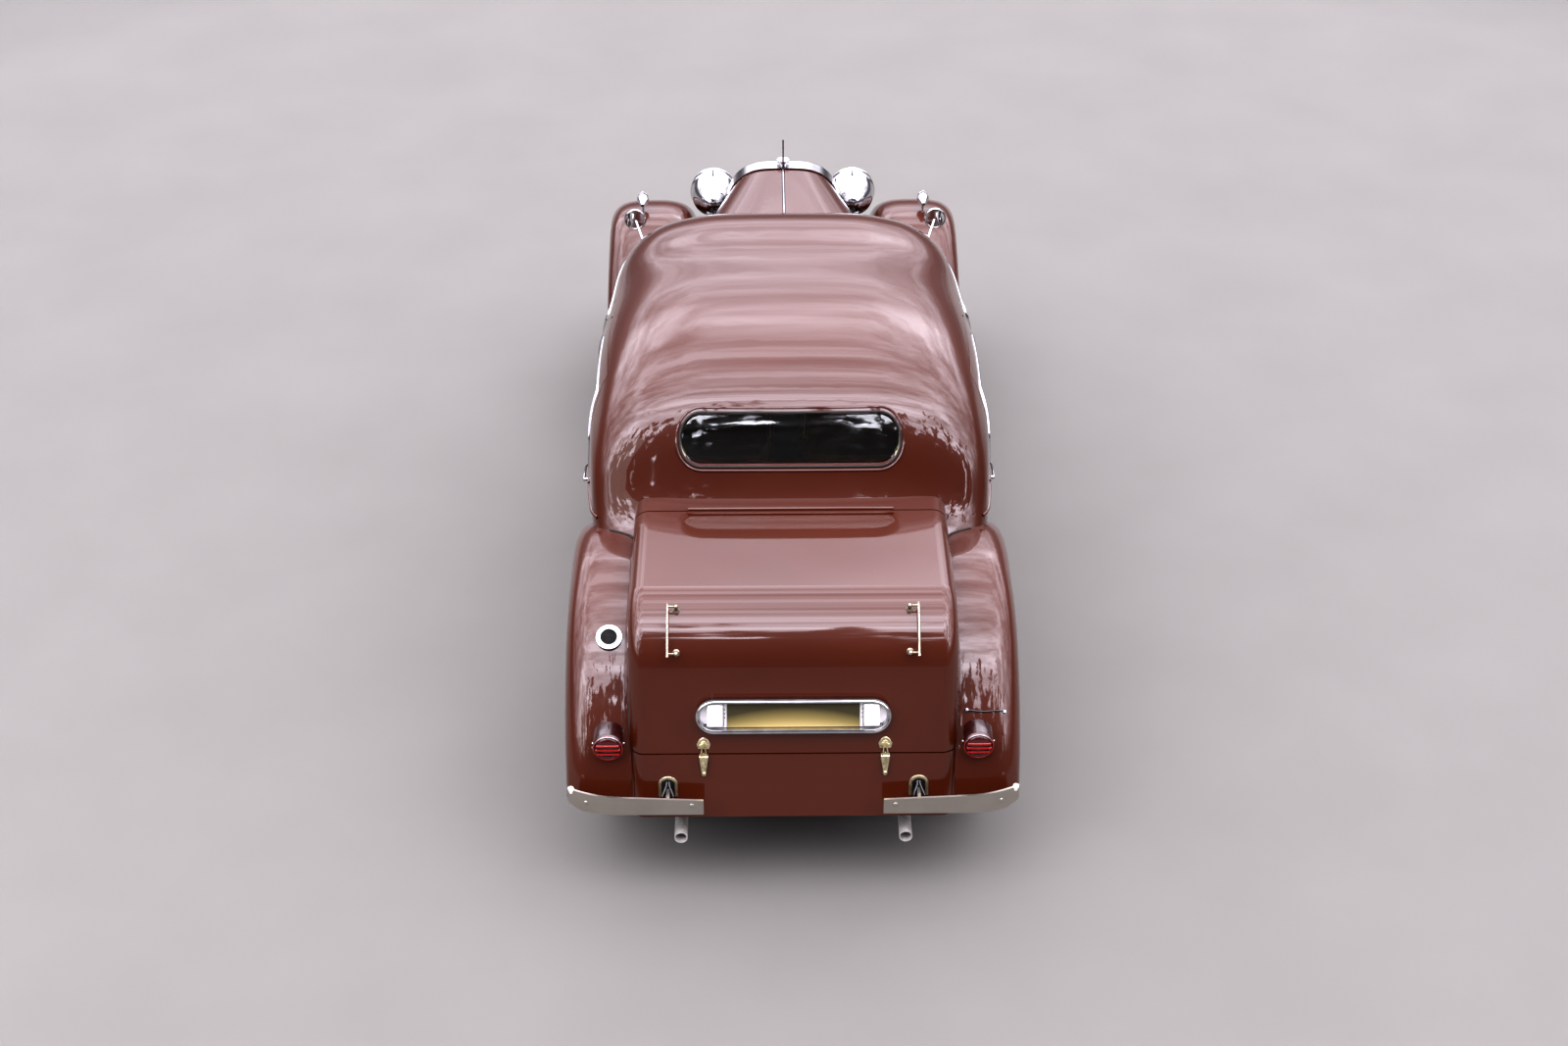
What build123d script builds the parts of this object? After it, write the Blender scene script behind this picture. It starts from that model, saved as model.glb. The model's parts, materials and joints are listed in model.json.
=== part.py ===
"""A late-1930s four-door luxury saloon with a built-out luggage boot.

Millimetres. +X is forward, +Y is the car's left, +Z is up. The origin lies on the ground,
under the middle of the overall length. Right-hand drive.
"""

import math
import os

from build123d import *

# ---------------------------------------------------------------- overall sizes
LENGTH = 4600  # bumper to bumper
HALF_WIDTH = 872  # centre line to the outside of a wing
WHEELBASE = 3200
FRONT_OVERHANG = 600  # front bumper to front axle
TRACK = 1422

FRONT_AXLE_X = LENGTH / 2 - FRONT_OVERHANG
REAR_AXLE_X = FRONT_AXLE_X - WHEELBASE
WHEEL_Y = TRACK / 2

# ---------------------------------------------------------------- clearances
SEAT = 0.3  # standing gap between pieces that only rest on each other
SHUT = 6  # shut line round doors, lid and bonnet
RUN = 0.05  # radial running clearance of a pin in its bore

# ---------------------------------------------------------------- wheels
TYRE_R = 356
TYRE_W = 150
BEAD_R = 228
RIM_W = 132
HUB_R = 46
STUB_R = 22
DRUM_R = 165
DRUM_IN = -50  # drum faces, from the wheel's centre plane
DRUM_OUT = -16
DRUM_GAP = 6  # brake plate to drum
HUB_IN = -38
HUB_OUT = 72
STUB_END = 40  # how far a stub reaches past the wheel's centre plane

# ---------------------------------------------------------------- steering
KINGPIN_IN = 100  # kingpin axis inboard of the wheel's centre plane
KINGPIN_Y = WHEEL_Y - KINGPIN_IN
KINGPIN_R = 14
AXLE_EYE_R = 28
AXLE_EYE_H = 60
ARM_BACK = 150  # steering arm's reach behind the kingpin
ARM_DROP = 52  # arm's boss below the wheel centre
ROD_R = 11
ROD_EYE_R = 17
ROD_PIN_R = 6
OPEN_EYE_SLACK = 1.5  # extra bore radius at the rod's open end

# ---------------------------------------------------------------- frame
RAIL_Z = 400
RAIL_H = 100
RAIL_W = 45
RAIL_TOP = RAIL_Z + RAIL_H
RAIL_Y_FRONT = 310
RAIL_Y_REAR = 440
RAIL_FRONT_X = 2200
RAIL_REAR_X = -2150
SPRING_W = 50
SPRING_T = 36
SPRING_GAP = 20  # rail side to spring side
AXLE_TUBE_R = 40
DIFF_R = 128
SHAFT_R = 28
SHAFT_FRONT_X = 760

# ---------------------------------------------------------------- cabin
WALL = 40
SILL_Z = 400
WAIST_Z = 1000
# front to back: x, half-width at sill, half-width at waist, height of the crown
CABIN = [
    (800, 560, 650, 1462),
    (500, 650, 735, 1522),
    (100, 700, 788, 1574),
    (-300, 722, 812, 1585),
    (-680, 730, 820, 1562),
    (-900, 730, 815, 1520),
    (-1030, 726, 806, 1455),
    (-1130, 720, 795, 1335),
    (-1232, 708, 776, 1138),
    (-1330, 690, 742, 1040),
    (-1430, 655, 692, 985),
    (-1510, 612, 632, 950),
]
SIDE_ROUND = 3.5  # superellipse exponents of the roof section
ROOF_ROUND = 3.5
SCREEN_BASE = (740, 1120)  # windscreen plane, x and z
SCREEN_HEAD = (510, 1500)
GLASS_T = 6
GLASS_IN = 16  # glass face behind the outer face
FLOOR_T = 20
WHEELHOUSE_R = 420
WHEELHOUSE_Y = 592
WHEELHOUSE_T = 20
TAIL_WALL_X = -1470

# ---------------------------------------------------------------- doors
HINGE_PLANE = 835  # plane on which the door outlines are drawn
DOOR_TAPER = 16
HINGE_Y = 826
HINGE_R = 8
HINGE_LEN = 56
HINGE_HEIGHTS = (640, 800, 960)
FRONT_DOOR = [(-122, 408), (640, 408), (640, 1050), (500, 1425), (-122, 1425)]
REAR_DOOR = [
    (-198, 408), (-752, 408), (-965, 905), (-965, 1160), (-745, 1425), (-198, 1425),
]  # fmt: skip
FRONT_LIGHT = [(-62, 1045), (545, 1045), (440, 1325), (-62, 1325)]
REAR_LIGHT = [(-258, 1045), (-880, 1045), (-862, 1180), (-730, 1325), (-258, 1325)]
DOOR_RADIUS = 45
LIGHT_RADIUS = 38
FRONT_HINGE_X = FRONT_DOOR[0][0] - 4
REAR_HINGE_X = REAR_DOOR[0][0] + 4

# ---------------------------------------------------------------- rear window
BACK_LIGHT_HALF = 430
BACK_LIGHT_Z = (1235, 1410)
BACK_LIGHT_RADIUS = 80

# ---------------------------------------------------------------- scuttle and bonnet
SCUTTLE_REAR_X = 650
SCUTTLE_FRONT_X = 900
SCUTTLE_WALL = 20
BONNET_FRONT_X = 1640
BONNET_BOTTOM = 560
BONNET_T = 6
NOSE_ROUND = 3.2
# x, half-width at the bottom, half-width, height where the arch springs, crown, bottom
SCUTTLE = [
    (SCUTTLE_REAR_X, 607, 695, 860, 1165, 400),
    (780, 560, 632, 835, 1180, 440),
    (SCUTTLE_FRONT_X, 500, 550, 812, 1192, 500),
]
BONNET = [
    (SCUTTLE_FRONT_X, 505, 550, 812, 1192, BONNET_BOTTOM),
    (1270, 395, 418, 835, 1203, BONNET_BOTTOM),
    (BONNET_FRONT_X, 280, 286, 855, 1212, BONNET_BOTTOM),
]
BONNET_SPLIT = 972  # joint between top panels and side panels
BONNET_HINGE_R = 6
RADIATOR_LEN = 100
RADIATOR_PROUD = 7
RADIATOR_RIM = 34

# ---------------------------------------------------------------- boot
BOOT_HALF = 612
BOOT_FRONT_X = -1232
BOOT_TOP = 1122
BOOT_TAIL_X = -2250
BOOT_BOTTOM = 350
BOOT_FACE_SLOPE = 75  # degrees from level
BOOT_SHOULDER = 260
BOOT_EDGE = 58  # rounding along the boot's sides
BOOT_T = 25
BOOT_FLOOR = 560
BOOT_SKIRT_X = -2060
LID_HINGE_X = -1330
LID_HINGE_RISE = 7.8  # hinge line above the boot's top
LID_DEPTH = 46
LID_SEAM_Z = 600
STRIP_HALF = 400
PLATE_Z = 753  # middle of the number-plate box, on the boot's sloping face
PLATE_W = 722
PLATE_H = 136
PLATE_RIM = 16

# ---------------------------------------------------------------- wings
WING_T = 5
REAR_WING = [
    (-820, 372), (-860, 600), (-950, 790), (-1100, 935), (-1300, 1000), (-1540, 1005),
    (-1830, 925), (-2060, 725), (-2185, 530), (-2228, 398),
]  # fmt: skip
FRONT_WING = [
    (2196, 430), (2165, 650), (2040, 850), (1880, 930), (1720, 955), (1500, 905),
    (1230, 750), (980, 550), (780, 420), (600, 374),
]  # fmt: skip
# along a wing, 0 to 1 from its first path point: inner edge, crest and outer edge from the
# centre line, and how far the inner and outer edges hang below the crest
REAR_SPREAD = [
    (0.0, 602, 700, 860, 10, 34), (0.2, 602, 700, 864, 12, 120), (0.5, 602, 700, 864, 12, 176),
    (0.85, 602, 700, 862, 12, 140), (1.0, 602, 700, 856, 12, 90),
]  # fmt: skip
FRONT_SPREAD = [
    (0.0, 470, 655, 846, 60, 60), (0.15, 436, 655, 869, 150, 112), (0.5, 436, 655, 869, 190, 122),
    (0.72, 436, 660, 869, 110, 90), (0.88, 470, 700, 869, 50, 48), (1.0, 540, 715, 868, 30, 34),
]  # fmt: skip
WING_STATIONS = 15
WING_ROUND = 2.9
REAR_WING_ENDS = [(-0.1, 0, 1), (-0.2, 0, -1)]  # directions of the crest at its two ends
FRONT_WING_ENDS = [(0, 0, 1), (-1, 0, 0)]
BOARD_Z = (334, 366)
BOARD_Y = (560, 866)


# ================================================================ small tools
def span_box(x0, x1, y0, y1, z0, z1):
    """A box between two corners."""
    return Solid.make_box(x1 - x0, y1 - y0, z1 - z0, Plane((x0, y0, z0)))


def rod(start, end, radius):
    """A round bar from start to end."""
    start, end = Vector(*start), Vector(*end)
    run = end - start
    return Solid.make_cylinder(radius, run.length, Plane(origin=start, z_dir=run))


def disc(radius, y0, y1, x=0, z=0):
    """A disc whose axis runs across the car, from y0 to y1."""
    return rod((x, y0, z), (x, y1, z), radius)


def grown(points, margin):
    """A convex outline moved outwards by margin, with its corners kept sharp."""
    count = len(points)
    area = sum(
        points[i][0] * points[(i + 1) % count][1] - points[(i + 1) % count][0] * points[i][1]
        for i in range(count)
    )
    sign = 1 if area > 0 else -1
    lines = []
    for i in range(count):
        (ax, az), (bx, bz) = points[i], points[(i + 1) % count]
        length = math.hypot(bx - ax, bz - az)
        nx, nz = sign * (bz - az) / length, -sign * (bx - ax) / length
        lines.append((nx, nz, nx * ax + nz * az + margin))
    corners = []
    for i in range(count):
        n1, n2 = lines[i - 1], lines[i]
        det = n1[0] * n2[1] - n2[0] * n1[1]
        corners.append(
            ((n1[2] * n2[1] - n2[2] * n1[1]) / det, (n1[0] * n2[2] - n2[0] * n1[2]) / det)
        )
    return corners


def outline(points, y, radius=0):
    """A flat face on the plane Y = y from x, z corners, with rounded corners."""
    corners = [(x, y, z) for x, z in points]
    if radius:
        return make_face(FilletPolyline(*corners, radius=radius, close=True).edges()).face()
    return Face(Wire.make_polygon([Vector(*c) for c in corners], close=True))


def prism_y(points, y0, y1, radius=0):
    """A prism across the car between y0 and y1."""
    return extrude(outline(points, y0, radius), amount=y1 - y0, dir=(0, 1, 0)).solid()


def plan_prism(points, z0, z1):
    """A prism of x, y corners between two heights."""
    face = Face(Wire.make_polygon([Vector(x, y, z0) for x, y in points], close=True))
    return extrude(face, amount=z1 - z0, dir=(0, 0, 1)).solid()


def largest(shape):
    """The biggest solid of a shape that a cut has split."""
    return max(shape.solids(), key=lambda s: s.volume)


def mirrored(shape):
    """The same shape on the other side of the car."""
    return shape.mirror(Plane.XZ)


def fused(*shapes):
    """Several solids as one."""
    return shapes[0].fuse(*shapes[1:]) if len(shapes) > 1 else shapes[0]


def write(name, *shapes):
    """Writes one node, holding every solid of the given shapes."""
    solids = [s for shape in shapes for s in shape.solids()]
    whole = solids[0] if len(solids) == 1 else Compound(solids)
    export_step(whole, f"parts/{name}.step")


# ================================================================ lofted skins
def arch(x, bottom_half, waist_half, bottom_z, waist_z, crown_z, side_round, top_round):
    """A closed section across the car: sides up to the waist, then a rounded arch."""
    rise, turns = 4, 9
    half = []
    for k in range(rise):
        t = k / rise
        bow = math.sin(math.pi / 2 * t)
        half.append(
            (bottom_half + (waist_half - bottom_half) * bow, bottom_z + (waist_z - bottom_z) * t)
        )
    for k in range(turns + 1):
        a = math.pi / 2 * k / turns
        half.append(
            (
                waist_half * math.cos(a) ** (2 / side_round),
                waist_z + (crown_z - waist_z) * math.sin(a) ** (2 / top_round),
            )
        )
    points = [Vector(x, y, z) for y, z in half] + [Vector(x, -y, z) for y, z in half[-2::-1]]
    steps = [i / (len(points) - 1) for i in range(len(points))]
    curve = Edge.make_spline(points, parameters=steps)
    return Wire([curve, Edge.make_line(points[-1], points[0])])


def cabin_solid(inset):
    """The cabin's outer form, moved inwards by inset. Inset forms run below the sill."""
    wires = []
    last = len(CABIN) - 1
    for i, (x, sill, waist, crown) in enumerate(CABIN):
        ahead, behind = CABIN[max(i - 1, 0)], CABIN[min(i + 1, last)]
        slope = math.atan2(ahead[3] - behind[3], ahead[0] - behind[0])
        if i == 0 or i == last:
            shift_x, drop = 0, inset
        else:
            shift_x, drop = inset * math.sin(slope), inset * math.cos(slope)
        waist_z = min(WAIST_Z, SILL_Z + 0.62 * (crown - SILL_Z))
        wires.append(
            arch(
                x + shift_x, sill - inset, waist - inset, SILL_Z - max(inset, 0) * 2,
                waist_z, crown - drop, SIDE_ROUND, ROOF_ROUND,
            )
        )  # fmt: skip
    return Solid.make_loft(wires)


def nose_solid(stations, inset, floor_drop=0):
    """A scuttle or bonnet form from its stations, moved inwards by inset."""
    wires = [
        arch(x, low - inset, half - inset, bottom - floor_drop, spring, crown - inset,
             NOSE_ROUND, NOSE_ROUND)
        for x, low, half, spring, crown, bottom in stations
    ]  # fmt: skip
    return Solid.make_loft(wires)


def wheelhouse(radius, y):
    """The space round the rear wheels, both sides, outboard of y."""
    left = disc(radius, y, HALF_WIDTH + 100, REAR_AXLE_X, TYRE_R)
    return [left, mirrored(left)]


def screen_x(z):
    """Where the windscreen plane stands at height z."""
    (bx, bz), (hx, hz) = SCREEN_BASE, SCREEN_HEAD
    return bx + (z - bz) * (hx - bx) / (hz - bz)


def door_prism(points, margin=0):
    """The bevelled prism that cuts a door out of the left wall."""
    face = outline(grown(points, margin), HINGE_PLANE, DOOR_RADIUS + margin)
    direction = Vector(0, -300, 0)
    return Solid.extrude_taper(face, direction, DOOR_TAPER)


def hinge_barrels(x, inwards):
    """Three barrels on a door's hinge axis, each with its strap and foot on the skin."""
    barrels = []
    for z in HINGE_HEIGHTS:
        barrel = rod((x, HINGE_Y, z), (x, HINGE_Y, z + HINGE_LEN), HINGE_R)
        low, high = z + 8, z + HINGE_LEN - 8
        near, middle, far = x, x + inwards * 30, x + inwards * 48
        strap = span_box(min(near, far), max(near, far), HINGE_Y - 10, HINGE_Y, low, high)
        foot = span_box(min(middle, far), max(middle, far), HINGE_Y - 74, HINGE_Y, low, high)
        barrels.append(fused(barrel, strap, foot).solid())
    return barrels


# ================================================================ assemblies
def cabin(outer, cavity):
    """Body shell, doors and every pane of glass."""
    shell = outer - cavity
    for space in wheelhouse(WHEELHOUSE_R, WHEELHOUSE_Y):
        shell -= space
    low, high = 800, 1700
    shell -= prism_y(
        [(screen_x(low), low), (1300, low), (1300, high), (screen_x(high), high)], -900, 900
    )
    shell -= span_box(SCUTTLE_REAR_X, 1300, -900, 900, 300, 800)
    shell -= nose_solid(grown_stations(SCUTTLE, SEAT), 0, 40)
    inner = WHEELHOUSE_Y - WHEELHOUSE_T
    shell -= span_box(-2000, REAR_AXLE_X + WHEELHOUSE_R, -inner, inner, 300, RAIL_TOP + SEAT)

    left_wall = span_box(-2000, 1000, 300, 900, 0, 2000)
    doors = {}
    for name, points, light in (
        ("front_door", FRONT_DOOR, FRONT_LIGHT),
        ("rear_door", REAR_DOOR, REAR_LIGHT),
    ):
        tool = door_prism(points)
        window = prism_y(light, 400, 900, LIGHT_RADIUS)
        door = largest((shell & left_wall) & tool) - window
        pane_tool = prism_y(grown(light, -SEAT), 400, 900, LIGHT_RADIUS)
        doors[name] = (door.solid(), pane_tool)
    openings = [door_prism(FRONT_DOOR, SHUT), door_prism(REAR_DOOR, SHUT)]
    for opening in openings:
        shell = shell - opening - mirrored(opening)

    band = cabin_solid(GLASS_IN) - cabin_solid(GLASS_IN + GLASS_T)
    for name, (door, pane_tool) in doors.items():
        hinge_x, inwards = (FRONT_HINGE_X, 1) if name == "front_door" else (REAR_HINGE_X, -1)
        door = fused(door, *hinge_barrels(hinge_x, inwards))
        pane = largest(band & pane_tool)
        write(f"{name}_left", door)
        write(f"{name}_right", mirrored(door))
        write(f"{name}_glass_left", pane)
        write(f"{name}_glass_right", mirrored(pane))

    z0, z1 = BACK_LIGHT_Z
    half = BACK_LIGHT_HALF
    corners = [(-half, z0), (half, z0), (half, z1), (-half, z1)]
    shell -= back_light_prism(corners, BACK_LIGHT_RADIUS)
    pane = band & back_light_prism(grown(corners, -SEAT), BACK_LIGHT_RADIUS)
    rear_window = largest(pane)
    write("body_shell", largest(shell))

    back = [(screen_x(z) - GLASS_IN, z) for z in (low, high)]
    front = [(x - GLASS_T, z) for x, z in back]
    screen = prism_y([back[0], back[1], front[1], front[0]], -800, 800)
    screen = screen & cabin_solid(WALL + SEAT)
    screen -= nose_solid(grown_stations(SCUTTLE, SEAT), 0, 40)
    upper = span_box(0, 1300, -900, 900, SCREEN_BASE[1] - 60, high)
    write("fixed_glass", largest(screen & upper), rear_window)


def back_light_prism(corners, radius):
    """A fore-and-aft prism through the back panel, from y, z corners."""
    points = [(-1500, y, z) for y, z in corners]
    face = make_face(FilletPolyline(*points, radius=radius, close=True).edges()).face()
    return extrude(face, amount=700, dir=(1, 0, 0)).solid()


def grown_stations(stations, margin):
    """Stations of a nose form, wider and higher by margin."""
    return [
        (x, low + margin, half + margin, spring, crown + margin, bottom)
        for x, low, half, spring, crown, bottom in stations
    ]


def scuttle_and_floor():
    """Scuttle with its bulkhead, floor, facia with the steering column, and steering wheel."""
    outer = nose_solid(SCUTTLE, 0)
    inner = nose_solid(SCUTTLE, SCUTTLE_WALL, 60)
    bulkhead = outer & span_box(
        SCUTTLE_FRONT_X - 14, SCUTTLE_FRONT_X, -800, 800, RAIL_TOP + SEAT, 1300
    )
    scuttle = largest((outer - inner) - span_box(0, 2000, -900, 900, 0, RAIL_TOP + SEAT))
    side = span_box(SCUTTLE_REAR_X, SCUTTLE_FRONT_X, -900, 900, RAIL_TOP + SEAT, 1300)
    scuttle = fused(largest(scuttle & side), bulkhead.solid()).solid()
    write("scuttle", scuttle)

    floor_z = RAIL_TOP + SEAT
    floor = cabin_solid(WALL + SEAT) & span_box(
        TAIL_WALL_X + 1, SCUTTLE_REAR_X, -900, 900, floor_z, floor_z + FLOOR_T
    )
    for space in wheelhouse(WHEELHOUSE_R + WHEELHOUSE_T + SEAT, WHEELHOUSE_Y - WHEELHOUSE_T - SEAT):
        floor -= space
    toe_half = SCUTTLE[2][1] - SCUTTLE_WALL - SEAT
    toe_x = SCUTTLE_FRONT_X - 14 - SEAT
    toe = plan_prism(
        [(SCUTTLE_REAR_X - 1, -toe_half), (toe_x, -toe_half), (toe_x, toe_half),
         (SCUTTLE_REAR_X - 1, toe_half)], floor_z, floor_z + FLOOR_T,
    )  # fmt: skip
    write("floor_pan", fused(largest(floor), toe).solid())

    facia = span_box(SCUTTLE_REAR_X + 6, SCUTTLE_REAR_X + 28, -700, 700, 900, 1105)
    facia = largest(facia & nose_solid(grown_stations(SCUTTLE, -SCUTTLE_WALL - SEAT), 0, 60))
    column = rod(STEER_CENTRE, along_column(-STEER_LEN), 19) - rod(
        along_column(60), along_column(-30 - SEAT), 60
    )
    column -= span_box(SCUTTLE_FRONT_X - 14.5, 2000, -900, 900, 0, 2000)
    bracket = span_box(
        SCUTTLE_REAR_X + 6, SCUTTLE_REAR_X + 28, STEER_CENTRE[1] - 30, STEER_CENTRE[1] + 30, 770, 910
    )
    write("facia_and_column", fused(facia, bracket, column.solid()).solid())
    write("steering_wheel", steering_wheel())


STEER_CENTRE = (330, -360, 985)
STEER_RAKE = 32  # degrees of the column above level
STEER_LEN = 700
STEER_R = 215


def along_column(distance):
    """A point on the steering column, measured towards the driver."""
    rake = math.radians(STEER_RAKE)
    x, y, z = STEER_CENTRE
    return (x - distance * math.cos(rake), y, z + distance * math.sin(rake))


def steering_wheel():
    """Rim, four flat spokes and boss, square to the column."""
    rake = math.radians(STEER_RAKE)
    plane = Plane(
        origin=STEER_CENTRE, x_dir=(0, 1, 0), z_dir=(-math.cos(rake), 0, math.sin(rake))
    )
    rim = Solid.make_torus(STEER_R, 11, plane)
    boss = rod(along_column(-30), along_column(18), 34)
    pieces = [rim, boss]
    for turn in (45, 135, 225, 315):
        spoke = Solid.make_box(STEER_R - 26, 22, 7, Plane((26, -11, -14)))
        spoke = plane.location * (Location((0, 0, 0), (0, 0, turn)) * spoke)
        pieces.append(spoke)
    return fused(*pieces).solid()


def seats():
    """Two front seats and the rear bench, each a cushion with its squab."""
    floor = RAIL_TOP + SEAT + FLOOR_T + SEAT
    made = []
    for y in (300, -300):
        cushion = span_box(-260, 165, y - 250, y + 250, floor, floor + 270)
        squab = prism_y(
            [(-230, floor + 100), (-130, floor + 100), (-230, floor + 660), (-330, floor + 660)],
            y - 245, y + 245,
        )  # fmt: skip
        made.append(fused(cushion, squab).solid())
    cushion = span_box(-1120, -640, -545, 545, floor, floor + 300)
    squab = prism_y(
        [(-1150, floor + 100), (-1030, floor + 100), (-1080, floor + 580), (-1165, floor + 580)],
        -545, 545,
    )  # fmt: skip
    made.append(fused(cushion, squab).solid())
    return made


def bonnet():
    """Two lifting top panels, the fixed side panels and the centre hinge."""
    front_x, rear_x = BONNET_FRONT_X - SEAT, SCUTTLE_FRONT_X + SEAT
    skin = nose_solid(BONNET, 0) - nose_solid(BONNET, BONNET_T, 40)
    skin = skin & span_box(rear_x, front_x, -900, 900, BONNET_BOTTOM, 1300)
    above = span_box(rear_x + SHUT, front_x - SHUT, BONNET_HINGE_R + 0.5, 900, BONNET_SPLIT, 1300)
    top = largest(skin & above)
    write("bonnet_left", top)
    write("bonnet_right", mirrored(top))
    below = span_box(rear_x, front_x, 0, 900, BONNET_BOTTOM, BONNET_SPLIT - SHUT)
    side = largest(skin & below)
    centre = rod(*bonnet_hinge_line(), BONNET_HINGE_R)
    write("bonnet_sides", side, mirrored(side))
    write("bonnet_hinge", centre)


def bonnet_hinge_line():
    """Start and end of the hinge along the top of the bonnet."""
    drop = BONNET_T / 2
    return (
        (SCUTTLE_FRONT_X + SEAT, 0, SCUTTLE[2][4] - drop),
        (BONNET_FRONT_X - SEAT, 0, BONNET[2][4] - drop),
    )


def radiator():
    """Plated shell with its core behind, filler cap and upright fin."""
    _, low, half, spring, crown, _ = BONNET[2]
    rear, front = BONNET_FRONT_X, BONNET_FRONT_X + RADIATOR_LEN
    bottom = RAIL_TOP + SEAT
    proud = RADIATOR_PROUD

    def block(margin, x0, x1, base):
        stations = [(x, low + margin, half + margin, spring, crown + margin, base) for x in (x0, x1)]
        return nose_solid(stations, 0)

    shell = block(proud, rear, front, bottom)
    bore = block(-RADIATOR_RIM, rear - 5, front + 5, bottom + 46)
    shell = largest(shell - bore)
    rim_edges = shell.edges().filter_by_position(Axis.X, front - 0.1, front + 0.1)
    outer_arch = max(rim_edges, key=lambda e: e.length)
    shell = shell.fillet(16, [outer_arch])
    write("radiator_shell", shell)
    core = block(-RADIATOR_RIM - SEAT, rear + 12, front - 30, bottom + 46 + SEAT)
    write("radiator_core", core)

    cap_x = (rear + front) / 2
    top = crown + proud + SEAT - 3
    neck = rod((cap_x, 0, top - 4), (cap_x, 0, top + 14), 22)
    flange = rod((cap_x, 0, top + 14), (cap_x, 0, top + 26), 31)
    fin = prism_y(
        [(cap_x + 34, top + 26), (cap_x + 24, top + 74), (cap_x - 30, top + 144),
         (cap_x - 26, top + 84), (cap_x - 20, top + 26)], -4, 4,
    )  # fmt: skip
    cap = fused(neck, flange, fin.solid()) - block(proud + SEAT, rear - 20, front + 20, bottom)
    write("radiator_cap", largest(cap))


def boot_prism(margin, width, round_edges=0):
    """The boot's side form from wing to wing, moved outwards by margin."""
    slope = math.radians(BOOT_FACE_SLOPE)
    shoulder_x = BOOT_TAIL_X + (BOOT_TOP - BOOT_BOTTOM) / math.tan(slope)
    points = [
        (BOOT_FRONT_X, BOOT_TOP), (shoulder_x, BOOT_TOP), (BOOT_TAIL_X, BOOT_BOTTOM),
        (BOOT_FRONT_X, BOOT_BOTTOM),
    ]  # fmt: skip
    points = grown(points, margin)
    corners = [(x, -width, z) for x, z in points]
    radii = [0, BOOT_SHOULDER + margin, 0, 0]
    wire = FilletPolyline(*corners, radius=radii, close=True)
    solid = extrude(make_face(wire.edges()).face(), amount=2 * width, dir=(0, 1, 0)).solid()
    if not round_edges:
        return solid
    sides = [
        e
        for e in solid.edges()
        if abs(abs(e.center().Y) - width) < 1 and e.center().X < BOOT_FRONT_X - 5 - margin
        and e.center().Z > BOOT_BOTTOM - margin + 5
    ]  # fmt: skip
    return solid.fillet(round_edges, sides)


def boot(outer_clear):
    """Boot carcass, lid, plate box and the hinge strip on the lid's front edge."""
    outer = boot_prism(0, BOOT_HALF, BOOT_EDGE)
    inside = boot_prism(-BOOT_T, BOOT_HALF - BOOT_T, BOOT_EDGE - BOOT_T)
    inside = fused(inside, span_box(BOOT_FRONT_X - 60, BOOT_FRONT_X + 200, -BOOT_HALF + BOOT_T,
                                    BOOT_HALF - BOOT_T, BOOT_FLOOR, BOOT_TOP - BOOT_T))  # fmt: skip
    upper = inside & span_box(-3000, 0, -900, 900, BOOT_FLOOR + BOOT_T, 2000)
    lower = inside & span_box(-3000, BOOT_FRONT_X, -900, 900, 0, BOOT_FLOOR)
    well = span_box(
        -3000, 0, -BOOT_HALF + BOOT_T, BOOT_HALF - BOOT_T, 0, BOOT_BOTTOM + BOOT_T + 5
    ) & span_box(BOOT_TAIL_X + BOOT_T + 4, 0, -900, 900, 0, 900)
    carcass = outer - upper - lower - well
    carcass -= span_box(BOOT_SKIRT_X, 0, -900, 900, 0, BOOT_FLOOR)
    carcass -= outer_clear

    def lid_zone(gap):
        band = boot_prism(40, BOOT_HALF + 60) - boot_prism(-LID_DEPTH - gap, BOOT_HALF + 60)
        reach = span_box(-3000, LID_HINGE_X - 3 + gap, -900, 900, LID_SEAM_Z - gap, 2000)
        return band & reach

    lid = largest(carcass & lid_zone(0))
    carcass = largest(carcass - lid_zone(SHUT))

    slope = math.radians(BOOT_FACE_SLOPE)
    for side in (1, -1):
        y = side * (RAIL_Y_REAR + RAIL_W / 2 + 6)
        carcass -= span_box(-3000, BOOT_SKIRT_X, y - 12, y + 12, 412, 470)
    write("boot_body", carcass)

    hinge_z = BOOT_TOP + LID_HINGE_RISE
    strip = rod((LID_HINGE_X, -STRIP_HALF, hinge_z), (LID_HINGE_X, STRIP_HALF, hinge_z), 8)
    leaf = span_box(LID_HINGE_X - 30, LID_HINGE_X, -STRIP_HALF, STRIP_HALF, BOOT_TOP - 4, BOOT_TOP + 5)
    lid = fused(lid, strip, leaf).solid()
    write("boot_lid", lid)

    centre_z = PLATE_Z
    centre_x = BOOT_TAIL_X + (centre_z - BOOT_BOTTOM) / math.tan(slope)
    face_plane = Plane(
        origin=(centre_x, 0, centre_z), x_dir=(0, 1, 0),
        z_dir=(-math.sin(slope), 0, math.cos(slope)),
    )  # fmt: skip
    case = extrude(face_plane * SlotOverall(PLATE_W, PLATE_H), amount=30)
    pocket = face_plane.offset(6) * SlotOverall(PLATE_W - 2 * PLATE_RIM, PLATE_H - 2 * PLATE_RIM)
    pocket = extrude(pocket, amount=40)
    write("number_plate_box", (case - pocket).solid())


def spread_at(spread, t):
    """A wing's section sizes at t, between the stations of its table."""
    for (t0, *low), (t1, *high) in zip(spread, spread[1:]):
        if t <= t1:
            share = (t - t0) / (t1 - t0)
            return [a + (b - a) * share for a, b in zip(low, high)]
    return list(spread[-1][1:])


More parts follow.
